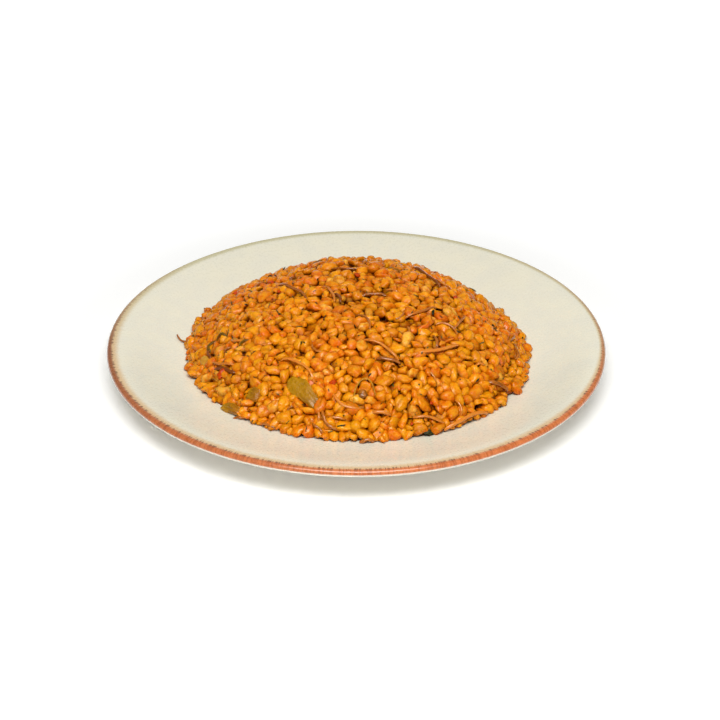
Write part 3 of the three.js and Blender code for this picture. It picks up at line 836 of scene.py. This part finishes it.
def rotations(normals, heading, tilt, roll):
    """Rows are each lump's own axes: its length, its width and its thickness."""
    side = unit(np.cross(normals, [0.0, 1.0, 0.0]))
    ahead = np.cross(normals, side)
    c, s = np.cos(heading)[:, None], np.sin(heading)[:, None]
    length, width = side * c + ahead * s, ahead * c - side * s
    c, s = np.cos(tilt)[:, None], np.sin(tilt)[:, None]
    length, thick = length * c + normals * s, normals * c - length * s
    c, s = np.cos(roll)[:, None], np.sin(roll)[:, None]
    width, thick = width * c + thick * s, thick * c - width * s
    return np.stack([length, width, thick], 1)


def lumpy(points, strength, waves, pitch):
    """Swells and dents each ball of a stack by a few soft waves of its own."""
    factor = np.ones(points.shape[:2])
    for _ in range(waves):
        wave = random_directions(len(points)) * draw.uniform(*pitch, (len(points), 1))
        phase = draw.uniform(0, 2 * math.pi, (len(points), 1))
        factor += strength * np.sin(np.einsum("nk,nvk->nv", wave, points) + phase)
    return points * factor[..., None]


def stack_faces(faces, count, each):
    """One ball's triangles repeated for a stack of balls, each with so many points."""
    return (faces[None] + np.arange(count)[:, None, None] * each).reshape(-1, 3)


def build_lumps(name, rows, material, slot, roughness, levels, tone, heading=None):
    """Lumps sunk among the grains' backs, as one piece. Gives their middles and mean radii."""
    table = np.array(rows, float)
    x, y = table[:, 0] * MM, table[:, 1] * MM
    middles = on_heap(x, y, -table[:, 5] * MM)
    count = len(table)
    if heading is None:
        turned = draw.uniform(0, 2 * math.pi, count)
    else:
        turned = np.radians(np.full(count, heading))
    axes = rotations(
        heap_normal(x, y), turned, draw.normal(0, LUMP_TILT, count), draw.normal(0, LUMP_ROLL, count))
    points, faces = ball(levels)
    shaped = lumpy(np.repeat(points[None], count, 0), roughness, 5, (2.5, 8))
    placed = np.einsum("nvk,nkc->nvc", shaped * table[:, None, 2:5] * MM, axes) + middles[:, None]
    toned_piece(name, placed.reshape(-1, 3), stack_faces(faces, count, len(points)),
                np.full(count * len(points), tone), material, slot)
    return middles, table[:, 2:5].mean(1) * MM


soft_tomato = two_tone(
    "soft_tomato", linear(162, 40, 0), linear(208, 80, 0), 0.8,
    relief_depth=0.0001, specular=0.15, flesh=(0.1, 1.0, 0.4, 0.1),
    Patch_Scale=300.0, Wrinkle_Scale=1200.0, Wettest=0.28, Driest=0.42)
glassy_onion = two_tone(
    "glassy_onion", linear(184, 126, 20), linear(208, 154, 56), 0.8,
    relief_depth=0.0001, specular=0.5, flesh=(0.5, 1.6, 1.0, 0.4),
    Patch_Scale=260.0, Wrinkle_Scale=900.0, Wettest=0.2, Driest=0.34)
brown_spice = two_tone(
    "brown_spice", linear(92, 50, 0), linear(192, 112, 2), 1.3, oil=0.2,
    relief_depth=0.00012, specular=0.6, flesh=(0.0, 1.0, 0.5, 0.2),
    Patch_Scale=500.0, Wrinkle_Scale=1600.0, Wettest=0.2, Driest=0.4)
dark_leaf = two_tone(
    "dark_leaf", linear(26, 28, 10), linear(86, 82, 34), 0.9,
    relief_depth=0.00012, specular=0.25, flesh=(0.0, 1.0, 0.5, 0.2),
    Patch_Scale=700.0, Wrinkle_Scale=2200.0, Wettest=0.3, Driest=0.5)
lump_places = [
    build_lumps(
        "tomato_crumbs", TOMATO_LUMPS, soft_tomato, "bulgur", roughness=0.12, levels=3, tone=0.5),
    build_lumps(
        "onion_slips", ONION_LUMPS, glassy_onion, "bulgur", roughness=0.03, levels=3, tone=0.5),
    build_lumps(
        "peppercorn", [PEPPERCORN], brown_spice, "bulgur", roughness=0.04, levels=4, tone=0.45),
    build_lumps(
        "wilted_leaf", [WILTED_LEAF], dark_leaf, "pepper", roughness=0.12, levels=4, tone=0.3,
        heading=LEAF_HEADING),
]

# ---- Where the grains lie --------------------------------------------------------------------
# Cooked bulgur, spooned out: grains lie at all angles, mostly on their sides, nested in each
# other's gaps. They are placed as ellipsoids that push each other apart and sink towards the core
# until they nearly touch, round the strands and under the pepper.
LAYERS = [(1400, 2.5), (1150, 5.0), (800, 7.4)]  # how many grains, and how deep in mm
DRAWN_IN = 1.1  # a layer ends that many times its depth inside the heap's edge
GRAIN_HALVES = ((3.1, 4.3), (2.4, 3.1), (2.0, 2.6))  # half length, width and thickness, in mm
SIZE_SPREAD = 0.15
SIZE_ENDS = (0.68, 1.28)
SMALL_SHARE = 0.24  # broken bits, about half as large
SMALL_SIZES = (0.4, 0.7)
GRAIN_TILT = 0.35  # radians, as a spread
GRAIN_ROLL = 0.7
SUNK = (-0.9, 1.1)  # how deep in mm a grain's back lies at least; below 0 it may stand out
SUNK_AT_FOOT = (-0.8, 1.4)  # and so much more at the heap's foot
FOOT_STARTS = 0.86  # of the heap's radius
FOOT_FADE = 0.1  # of the radius, over which the slope gives way to the foot
FOOT_FLATNESS = 0.8  # how nearly the grains there lie flat on the plate
TOUCH = 0.86  # soft grains press a little into each other
SETTLING = 70  # steps
NEAR = 9.5 * MM  # grains whose middles are farther apart than this can't touch
NEAR_FIXED = 7 * MM
PUSH = 0.3  # the share of an overlap that a step takes away
PUSH_FIXED = 0.5
LONGEST_MOVE = 0.8 * MM  # in one step, however crowded a grain is
SINKING = 0.06  # mm in one step
OVER_PLATE = 0.1 * MM
PEPPER_HALF = 0.6 * MM  # half of what the grains keep clear for a cut of pepper


def sow_grains():
    """Where the grains start: a spiral in each layer, evenly over the heap's slope."""
    share = np.linspace(0, 1, 200)
    slope = HEAP_HEIGHT * HEAP_POWER / HEAP_RADIUS * share ** (HEAP_POWER - 1)
    area = np.cumsum(share * np.hypot(1, slope))
    places = []
    for count, depth in LAYERS:
        i = np.arange(count)
        out = np.interp((i + 0.5) / count, area / area[-1], share)
        out = np.minimum(out, 1 - DRAWN_IN * depth * MM / HEAP_RADIUS)
        angle = i * GOLDEN_ANGLE + draw.uniform(-0.15, 0.15, count) + depth
        r = out * heap_reach(angle)
        lift = -depth * MM * np.ones(count)
        places.append(on_heap(r * np.cos(angle), HEAP_MIDDLE + r * np.sin(angle), lift))
    return np.concatenate(places)


def extent(axes, halves, direction):
    """How far each ellipsoid reaches from its middle in a direction."""
    return np.linalg.norm(np.einsum("nij,nj->ni", axes, direction) * halves, axis=1)


def near_pairs(places, others, reach):
    """Rows of a place's number and another's, for all that lie within reach of each other."""
    tree = KDTree(len(others))
    for i, place in enumerate(others):
        tree.insert(place, i)
    tree.balance()
    found = ((i, tree.find_range(place, reach)) for i, place in enumerate(places))
    return np.array([(i, j) for i, near in found for _, j, _ in near])


def settle(places, axes, halves, sunk, fixed, fixed_radius):
    """Moves the grains until they nearly touch, below the heap's surface and over the plate. sunk is
    how deep each one's back lies at least, and fixed are the middles of what they give way to."""
    count = len(places)
    upward = np.tile([0.0, 0.0, 1.0], (count, 1))
    for step in range(SETTLING):
        if step % 10 == 0:
            pairs = near_pairs(places, places, NEAR)
            pairs = pairs[pairs[:, 0] < pairs[:, 1]]
            held = near_pairs(places, fixed, NEAR_FIXED)
        move = np.zeros_like(places)
        a, b = pairs.T
        gap = places[b] - places[a]
        distance = np.linalg.norm(gap, axis=1) + 1e-9
        along = gap / distance[:, None]
        room = TOUCH * (extent(axes[a], halves[a], along) + extent(axes[b], halves[b], along))
        push = PUSH * np.maximum(0, room - distance)[:, None] * along
        for c in range(3):
            move[:, c] += np.bincount(b, push[:, c], count) - np.bincount(a, push[:, c], count)
        a, b = held.T
        gap = places[a] - fixed[b]
        distance = np.linalg.norm(gap, axis=1) + 1e-9
        along = gap / distance[:, None]
        room = extent(axes[a], halves[a], along) + fixed_radius[b]
        push = PUSH_FIXED * np.maximum(0, room - distance)[:, None] * along
        crowd = np.maximum(1, np.bincount(a, (room > distance).astype(float), count))
        for c in range(3):
            move[:, c] += np.bincount(a, push[:, c], count) / crowd
        length = np.linalg.norm(move, axis=1, keepdims=True) + 1e-12
        places = places + move * np.minimum(1, LONGEST_MOVE / length)

        # They sink, but not past the core or into the plate, and none stands too far out.
        normal = heap_normal(places[:, 0], places[:, 1])
        reach = extent(axes, halves, normal)
        places = places - normal * SINKING * MM
        depth = (heap_top(places[:, 0], places[:, 1]) - places[:, 2]) * normal[:, 2]
        too_high = np.maximum(0, sunk - (depth - reach))
        too_deep = np.maximum(0, depth - SHELL)
        places = places + normal * (too_deep - too_high)[:, None]
        floor = plate_top(np.hypot(places[:, 0], places[:, 1])) + OVER_PLATE
        short = floor - (places[:, 2] - extent(axes, halves, upward))
        places[:, 2] += np.maximum(0, short)
    return places


grain_places = sow_grains()
grain_count = len(grain_places)
size = draw.normal(1, SIZE_SPREAD, grain_count).clip(*SIZE_ENDS)
is_small = draw.uniform(0, 1, grain_count) < SMALL_SHARE
size = np.where(is_small, draw.uniform(*SMALL_SIZES, grain_count), size)
halves = [draw.uniform(*ends, grain_count) for ends in GRAIN_HALVES]
grain_halves = size[:, None] * np.stack(halves, 1) * MM
# Those at the foot lie on the plate rather than on the slope, and stand out more unevenly.
from_middle = grain_places[:, :2] - [0, HEAP_MIDDLE]
outline_reach = heap_reach(np.arctan2(from_middle[:, 1], from_middle[:, 0]))
foot_share = np.hypot(*from_middle.T) / outline_reach
at_foot = np.clip((foot_share - FOOT_STARTS) / FOOT_FADE, 0, 1)[:, None]
on_slope = (1 - FOOT_FLATNESS * at_foot) * heap_normal(*grain_places[:, :2].T)
grain_axes = rotations(
    unit(on_slope + FOOT_FLATNESS * at_foot * [0, 0, 1]),
    draw.uniform(0, 2 * math.pi, grain_count),
    draw.normal(0, GRAIN_TILT, grain_count),
    draw.normal(0, GRAIN_ROLL, grain_count) + math.pi * draw.integers(0, 2, grain_count))
sunk = draw.uniform(*SUNK, grain_count)
sunk = (sunk + draw.uniform(*SUNK_AT_FOOT, grain_count) * at_foot[:, 0]) * MM

# The strands, stems, pepper and lumps stay where they are, each as a row of balls.
fixed_points = [path[1:-1] for path in strand_paths + stem_paths]
sizes = strand_sizes + stem_sizes
fixed_radii = [np.full(len(points), radius) for points, radius in zip(fixed_points, sizes)]
for row in PEPPERS.values():
    columns, rows = 14, 9
    middles = pepper_points(*row, columns, rows, 0.5).reshape(columns, rows, 3)
    inner = middles[2:-2, 2:-2].reshape(-1, 3)
    fixed_points.append(inner)
    fixed_radii.append(np.full(len(inner), PEPPER_HALF))
for middles, radii in lump_places:
    fixed_points.append(middles)
    fixed_radii.append(radii)
grain_places = settle(
    grain_places, grain_axes, grain_halves, sunk,
    np.concatenate(fixed_points), np.concatenate(fixed_radii))

# ---- Bulgur grains ---------------------------------------------------------------------------
# Coarse bulgur: wheat that was boiled, dried and cracked. Whole ones are plump, with a crease. Cracked
# ones have flat broken faces with soft edges, and split ones are halves. All have swollen in tomato
# and oil, so they are orange, moist and slightly see-through, a few much paler.

# Of each kind: how many flat faces a grain has, how near and how far from its middle they lie as
# shares of its size, how sharp their edges are, and how much it swells to make up for them.
KINDS = {
    "whole_grains": (6, 0.74, 1.1, 16, 1.06),
    "cracked_grains": (9, 0.54, 0.96, 24, 1.2),
    "split_grains": (6, 0.58, 1.0, 20, 1.14),
}
SPLIT_FACE = (0.25, 0.6)  # how near the middle a split grain's one large face lies
SPLIT_LEAN = 0.25
GRAIN_TAPER = 0.2  # of a whole grain, towards either end
GRAIN_BEND = 0.16
CREASE_WIDTH = (0.14, 0.22)
CREASE_DEPTH = (0.1, 0.35)
# How strong they are, how many waves make them, and how many radians of wave there are to a radius.
SWELLINGS = (0.05, 4, (2, 5))
DENTS = (0.028, 5, (6, 11))
SHOWN_DEPTH = 3.2 * MM  # grains whose backs lie deeper than this are the plain ones below
CONTACT_REACH = 1.3 * MM  # painted shade and sauce are drawn in where grains are nearer than this
CONTACT_RANGE = 9 * MM  # between the middles of grains that may be that near
DRIFT_PITCH = (14, 45)  # mm from one saucy patch of the heap to the next
DRIFT_WAVES = 9
DRIFT_SEED = 5
# What the grains' tone is made of. Yellow, pale and painted shade with sauce run from 0 to 1.
YELLOW = 0.43
YELLOW_SPREAD = 0.12
LIT_BACK_YELLOW = 0.25  # painted light: the backs are yellower
YELLOW_DRIFT = 0.06
PALE_SHARE = 0.06  # of the grains are much paler
PALE_GRAIN = (0.3, 0.7)
PALE_OTHERS = 0.03
# Painted light: the backs are a little paler too.
LIT_BACK_PALE = 0.08
LIT_BACK_STARTS = 0.7  # where the painted light on the back starts, as how squarely it faces out of the heap
# Painted shade with sauce: deep red-brown below the heap's surface, in creases, on flanks and at
# touches.
DEPTH_SHADE_STARTS = 1.5  # mm below the heap's surface
DEPTH_SHADE_FADE = 3.3  # mm from there to where it is deepest
DEPTH_SHADE_DEEPEST = 0.92
CREASE_SHADE = 0.3
FLANK_SHADE = 0.22
FLANK_STARTS = 0.6
TOUCH_SHADE = 0.22
SAUCE_SOAKED = (-0.03, 0.17)  # some grains have soaked up more of it than others
SAUCE_DRIFT = 0.05


def broken_faces(ball_points, normals, offsets, sharpness):
    """How far out a rounded solid with flat faces reaches in each direction of the ball."""
    toward = np.maximum(0, np.einsum("nkc,vc->nkv", normals, ball_points)) / offsets[:, :, None]
    return (np.sum(toward**sharpness, axis=1) + 1) ** (-1 / sharpness)


def grain_shapes(kind, halves, ball_points):
    """Points of each grain about its own middle, and how deep in the crease each point is."""
    count = len(halves)
    points = np.repeat(ball_points[None], count, 0)
    crease = np.zeros(points.shape[:2])
    face_count, nearest, farthest, sharpness, swell = KINDS[kind]
    normals = random_directions(count, face_count)
    offsets = draw.uniform(nearest, farthest, (count, face_count))
    if kind == "split_grains":
        normals[:, 0] = [0, 0, 1]
        normals[:, 0] += draw.normal(0, SPLIT_LEAN, (count, 3))
        offsets[:, 0] = draw.uniform(*SPLIT_FACE, count)
    points = points * broken_faces(ball_points, normals, offsets, sharpness)[:, :, None] * swell
    x, y, z = points[..., 0], points[..., 1], points[..., 2]
    if kind == "whole_grains":
        taper = draw.uniform(-GRAIN_TAPER, GRAIN_TAPER, (count, 1))
        y = y * (1 + taper * x)
        z = z * (1 + taper * x)
        width = draw.uniform(*CREASE_WIDTH, (count, 1))
        depth = draw.uniform(*CREASE_DEPTH, (count, 1))
        crease = np.exp(-((y / width) ** 2)) * np.clip(z * 2, 0, 1) * np.clip(1.15 - x**2, 0, 1)
        z = z - depth * crease
    bend = draw.uniform(-GRAIN_BEND, GRAIN_BEND, (count, 1))
    z = z + bend * x**2
    shaped = lumpy(np.stack([x, y, z], -1), *SWELLINGS)
    shaped = lumpy(shaped, *DENTS)
    return shaped * halves[:, None, :], crease


def grain_material():
    """Cooked grain. The mesh gives its tone: red from deep orange to yellow, green how pale and
    starchy, both raised on the backs as painted light, and blue how much painted shade and sauce
    darken it, as in a crease or between grains."""
    material, nodes, links, shader, patches = wet_material(
        "cooked_bulgur", relief_depth=0.00055, specular=0.12, flesh=(0.2, 1.2, 0.7, 0.1),
        Patch_Scale=420.0, Wrinkle_Scale=1300.0, Wrinkles=0.6, Wettest=0.14, Driest=0.34)
    tone = tone_of(nodes, links)
    yellow = arithmetic(nodes, links, "ADD", tone[0], stray(nodes, links, patches, 1.4))
    colour = blend_colours(nodes, links, spread(nodes, links, yellow, 0.0, 1.0),
                           linear(219, 103, 0), linear(241, 159, 0))
    dry = spread(nodes, links, patches, 0.35, 0.6)
    starch = arithmetic(nodes, links, "MULTIPLY", tone[1], dry)
    colour = blend_colours(nodes, links, starch, colour, linear(248, 188, 76))
    # Painted shade with sauce: the blue darkens the grain to deep red-brown.
    colour = blend_colours(nodes, links, tone[2], colour, linear(88, 22, 0))
    links.new(colour, shader.inputs["Base Color"])
    # Oil shines on the grains' backs, not down in the painted shade and sauce.
    links.new(spread(nodes, links, tone[2], 0.0, 0.5, 0.34, 0.0), shader.inputs["Coat Weight"])
    shader.inputs["Coat Roughness"].default_value = 0.18
    return material


def drift(points, pitches):
    """A soft random rise and fall over the heap, about -1 to 1, the same for every kind of grain."""
    waves = np.random.default_rng(DRIFT_SEED)
    total = np.zeros(len(points))
    for _ in range(DRIFT_WAVES):
        heading = waves.normal(0, 1, 3)
        turns = points @ (heading / np.linalg.norm(heading)) / (waves.uniform(*pitches) * MM)
        total += np.sin(2 * math.pi * turns + waves.uniform(0, 2 * math.pi))
    return total / math.sqrt(DRIFT_WAVES)


def contact(points, chosen):
    """How near each point of the chosen grains lies to another grain: 1 where they touch, 0 away."""
    nearest = np.full(points.shape[:2], np.inf)
    pairs = near_pairs(grain_places[chosen], grain_places, CONTACT_RANGE)
    pairs = pairs[chosen[pairs[:, 0]] != pairs[:, 1]]
    own, other = pairs.T
    local = np.einsum("pvc,pkc->pvk", points[own] - grain_places[other][:, None], grain_axes[other])
    beyond = np.linalg.norm(local / grain_halves[other][:, None], axis=2) - 1
    np.minimum.at(nearest, own, beyond * grain_halves[other].mean(1)[:, None])
    return np.clip(1 - nearest / CONTACT_REACH, 0, 1)


def depth_of(points):
    """How far points lie below the heap's surface, measured square to it."""
    x, y, z = points.T
    return (heap_top(x, y) - z) * heap_normal(x, y)[:, 2]


def build_grains(name, kind, chosen, levels, material):
    """The chosen grains as one piece. Gives the points of each grain."""
    ball_points, ball_faces = ball(levels)
    points, crease = grain_shapes(kind, grain_halves[chosen], ball_points)
    points = np.einsum("nvk,nkc->nvc", points, grain_axes[chosen]) + grain_places[chosen][:, None]
    count, each = points.shape[:2]
    touching = contact(points, chosen).ravel()
    points = points.reshape(-1, 3)
    piece = solid(name, points, stack_faces(ball_faces, count, each), material)
    yellow = draw.normal(YELLOW, YELLOW_SPREAD, count).clip(0, 1)
    is_pale = draw.uniform(0, 1, count) < PALE_SHARE
    pale = np.where(is_pale, draw.uniform(*PALE_GRAIN, count), PALE_OTHERS)
    soaked = draw.uniform(*SAUCE_SOAKED, count)
    yellow, pale, soaked = (np.repeat(values, each) for values in (yellow, pale, soaked))
    middles = np.repeat(grain_places[chosen], each, 0)
    facing = np.einsum(
        "nc,nc->n", unit(points - middles), heap_normal(middles[:, 0], middles[:, 1]))
    rise = drift(points, DRIFT_PITCH)
    # Painted shade and sauce: darker between grains, in creases, on flanks and where grains touch.
    shade_and_sauce = np.clip((depth_of(points) / MM - DEPTH_SHADE_STARTS) / DEPTH_SHADE_FADE, 0, 1) * DEPTH_SHADE_DEEPEST
    shade_and_sauce += CREASE_SHADE * crease.ravel() + FLANK_SHADE * np.clip(FLANK_STARTS - facing, 0, 1)
    shade_and_sauce += TOUCH_SHADE * touching**1.5 + soaked + SAUCE_DRIFT * rise
    shade_and_sauce = np.clip(shade_and_sauce, 0, 1)
    # Painted light: the backs, which face out of the heap, are paler and yellower.
    back = np.clip((facing - LIT_BACK_STARTS) / (1 - LIT_BACK_STARTS), 0, 1)
    yellow += LIT_BACK_YELLOW * back + YELLOW_DRIFT * rise
    pale += LIT_BACK_PALE * back
    paint(piece, "tone", np.stack([yellow, pale, shade_and_sauce, np.ones_like(pale)], 1))
    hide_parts("pilaf")
    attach(piece, "root")
    return points.reshape(count, each, 3)


surface = heap_normal(grain_places[:, 0], grain_places[:, 1])
back_depth = depth_of(grain_places) - extent(grain_axes, grain_halves, surface)
shown = np.flatnonzero(back_depth < SHOWN_DEPTH)
buried = np.flatnonzero(back_depth >= SHOWN_DEPTH)
kind_of = draw.permutation(np.arange(len(shown)) % len(KINDS))

bulgur = grain_material()
grain_skins = [
    build_grains(kind, kind, shown[kind_of == number], 3, bulgur)
    for number, kind in enumerate(KINDS)]
build_grains("buried_grains", "cracked_grains", buried, 2, bulgur)

# ---- Herb flecks -----------------------------------------------------------------------------
# Dried mint and parsley, rubbed fine over the pot: thin dark green flecks, a fifth of them larger
# bits of leaf. They stick to the backs and flanks of the grains that show.
FLECKS = 640
FLECKED_GRAIN = 2.2 * MM  # the mean radius of the least grain with a fleck on it
BIG_FLECKS = 0.2  # the share that is larger bits of leaf
BIG_FLECK_SIZE = 1.9
FLECK_HALVES = ((0.5, 1.3), (0.18, 0.4), (0.12, 0.2))  # half length, width and thickness, in mm
FLECK_FACING = (0.2, 0.92)  # where on a grain it sticks: 0 is halfway down, 1 is its highest point
FLECK_TILT = 0.15  # radians, as a spread


def build_flecks():
    """Thin lumps, each stuck to a point of a grain."""
    skins = np.concatenate(grain_skins)
    middles = skins.mean(1)
    top = heap_normal(middles[:, 0], middles[:, 1])
    # The smallest bits of grain carry none.
    bulk = np.linalg.norm(skins - middles[:, None], axis=2).mean(1)
    chosen = draw.choice(np.flatnonzero(bulk > FLECKED_GRAIN), FLECKS, replace=False)
    # Of each grain's points, one on its back or, more often, down its flank.
    facing = np.einsum("nvc,nc->nv", skins[chosen] - middles[chosen, None], top[chosen])
    facing /= facing.max(1, keepdims=True)
    wanted = draw.uniform(*FLECK_FACING, (FLECKS, 1))
    best = np.argmin(np.abs(facing - wanted) + draw.uniform(0, 0.1, facing.shape), axis=1)
    places = skins[chosen, best]
    points, faces = ball(2)
    axes = rotations(
        unit(places - middles[chosen]), draw.uniform(0, 2 * math.pi, FLECKS),
        draw.normal(0, FLECK_TILT, FLECKS), draw.normal(0, FLECK_TILT, FLECKS))
    halves = np.stack([draw.uniform(*pair, FLECKS) for pair in FLECK_HALVES], 1) * MM
    halves *= np.where(draw.uniform(0, 1, FLECKS) < BIG_FLECKS, BIG_FLECK_SIZE, 1)[:, None]
    shaped = lumpy(np.repeat(points[None], FLECKS, 0), 0.13, 3, (2, 5))
    placed = np.einsum("nvk,nkc->nvc", shaped * halves[:, None], axes) + places[:, None]
    tones = np.repeat(draw.uniform(0, 1, FLECKS), len(points))
    toned_piece("herb_flecks", placed.reshape(-1, 3), stack_faces(faces, FLECKS, len(points)),
                tones, dark_leaf, "pepper")


build_flecks()

# ---- Core ------------------------------------------------------------------------------------
# The imported pilaf inside, under the loose grains: grains pressed together in their sauce. It shows
# only as darkness deep between the others, so it is one rough surface that follows the heap, its
# colour painted shade, near-black red-brown.
CORE_RINGS = 40
CORE_SECTORS = 120
CORE_INSET = 6 * MM  # from the heap's outline
CORE_OVER_PLATE = 0.4 * MM


def build_core():
    """The core's skin, from the middle of its top down to the plate."""
    rings, sectors = CORE_RINGS, CORE_SECTORS
    points = []
    for k in range(rings + 1):
        share = k / rings
        angle = even_turn(sectors)
        r = share * (heap_reach(angle) - CORE_INSET)
        x, y = r * np.cos(angle), HEAP_MIDDLE + r * np.sin(angle)
        z = heap_top(x, y) - SHELL / heap_normal(x, y)[:, 2]
        z = np.maximum(z, plate_top(np.hypot(x, y)) + CORE_OVER_PLATE)
        points += list(zip(x, y, z))
    faces = []
    for k in range(rings):
        for i in range(sectors):
            j = (i + 1) % sectors
            a, b = k * sectors, (k + 1) * sectors
            faces.append((a + i, b + i, b + j, a + j))
    material, nodes, links, shader, patches = wet_material(
        "packed_pilaf_shade", relief_depth=0.0004, specular=0.3, flesh=(0.0, 1.0, 0.5, 0.2),
        Patch_Scale=220.0, Wrinkle_Scale=900.0, Wettest=0.4, Driest=0.6)
    share = spread(nodes, links, patches, 0.3, 0.7)
    # Painted shade: near-black red-brown, the darkness between the grains.
    colour = blend_colours(nodes, links, share, linear(34, 10, 0), linear(76, 26, 2))
    links.new(colour, shader.inputs["Base Color"])
    return solid("packed_core", points, faces, material)


core = build_core()
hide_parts("pilaf")
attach(core, "root")

# ---- Table, light and camera -----------------------------------------------------------------
# A plain pale table that glows into a bright backdrop. Two soft boxes in front and above, a faint
# one behind and a broad soft sun overhead light the plate. The camera stands at the photograph's
# viewpoint.
TABLE_HALF = 3.0
BACKDROP = (0.15, 0.32)  # metres from the plate's middle, between which the table pales
BACKDROP_GLOW = (0.1, 0.95)
LIGHT_COLOUR = (1, 1, 0.98)
FRONT_BOX_PLACE = (0.15, -0.53, 0.81)  # of the right one, which the left one mirrors
FRONT_BOX_TARGET = (0, -0.05, 0.02)
FRONT_BOX_SIZE = (0.35, 0.35)
FRONT_BOX_WATTS = 4.75
BACK_BOX_PLACE = (0.1, 1.1, 0.8)
BACK_BOX_TARGET = (0, 0, 0.03)
BACK_BOX_SIZE = (0.9, 0.5)
BACK_BOX_WATTS = 0.8
SUN_HEADING = (0.05, 0.1, -1)
SUN_STRENGTH = 0.29
SUN_SOFTNESS = 30  # degrees across
ROOM_LIGHT = 0.14
VIEW_ELEVATION = 28.8  # degrees above the table
VIEW_DISTANCE = 1.0
VIEW_LENS = 95.4
VIEW_SENSOR = 36
VIEW_SHIFT = (0.005, -0.0325)  # sets the plate a little left of the picture's middle and above it


def build_table():
    """A flat square whose far parts glow."""
    corners = [(x * TABLE_HALF, y * TABLE_HALF, 0) for x, y in ((-1, -1), (1, -1), (1, 1), (-1, 1))]
    material, nodes, links, shader = new_material("pale_table")
    shader.inputs["Base Color"].default_value = (0.98, 0.98, 0.98, 1)
    shader.inputs["Roughness"].default_value = 0.6
    away = add_node(nodes, "ShaderNodeVectorMath", operation="LENGTH")
    links.new(add_node(nodes, "ShaderNodeTexCoord").outputs["Object"], away.inputs[0])
    shader.inputs["Emission Color"].default_value = (1, 1, 1, 1)
    glow = spread(nodes, links, away.outputs["Value"], *BACKDROP, *BACKDROP_GLOW)
    links.new(glow, shader.inputs["Emission Strength"])
    return solid("table", corners, [(0, 1, 2, 3)], material)


def add_area_light(name, place, target, size, watts):
    """A soft box at a place, turned to a target."""
    light = bpy.data.lights.new(name, "AREA")
    light.shape = "RECTANGLE"
    light.size, light.size_y = size
    light.energy = watts
    light.color = LIGHT_COLOUR
    lamp = bpy.data.objects.new(name, light)
    lamp.location = place
    lamp.rotation_euler = (Vector(target) - Vector(place)).to_track_quat("-Z", "Y").to_euler()
    bpy.context.scene.collection.objects.link(lamp)


def add_sun(name, heading):
    """A broad soft light from one direction."""
    light = bpy.data.lights.new(name, "SUN")
    light.energy = SUN_STRENGTH
    light.angle = math.radians(SUN_SOFTNESS)
    light.color = LIGHT_COLOUR
    lamp = bpy.data.objects.new(name, light)
    lamp.rotation_euler = Vector(heading).to_track_quat("-Z", "Y").to_euler()
    bpy.context.scene.collection.objects.link(lamp)


def add_camera():
    """The camera, in front of the plate and above it, turned to its middle."""
    camera = bpy.data.cameras.new("camera")
    camera.lens = VIEW_LENS
    camera.sensor_width = VIEW_SENSOR
    camera.shift_x, camera.shift_y = VIEW_SHIFT
    viewer = bpy.data.objects.new("camera", camera)
    elevation = math.radians(VIEW_ELEVATION)
    target = Vector((0, 0, PLATE_HEIGHT))
    backward = Vector((0, -math.cos(elevation), math.sin(elevation)))
    viewer.location = target + VIEW_DISTANCE * backward
    viewer.rotation_euler = (target - viewer.location).to_track_quat("-Z", "Y").to_euler()
    bpy.context.scene.collection.objects.link(viewer)
    bpy.context.scene.camera = viewer


build_table()
right, front, up = FRONT_BOX_PLACE
for name, x in (("left_box", -right), ("right_box", right)):
    add_area_light(name, (x, front, up), FRONT_BOX_TARGET, FRONT_BOX_SIZE, FRONT_BOX_WATTS)
add_area_light("back_box", BACK_BOX_PLACE, BACK_BOX_TARGET, BACK_BOX_SIZE, BACK_BOX_WATTS)
add_sun("overhead", SUN_HEADING)
world = bpy.data.worlds.new("studio")
world.use_nodes = True
background = world.node_tree.nodes["Background"]
background.inputs["Color"].default_value = (1, 1, 1, 1)
background.inputs["Strength"].default_value = ROOM_LIGHT
bpy.context.scene.world = world
bpy.context.scene.view_settings.view_transform = "Standard"
add_camera()
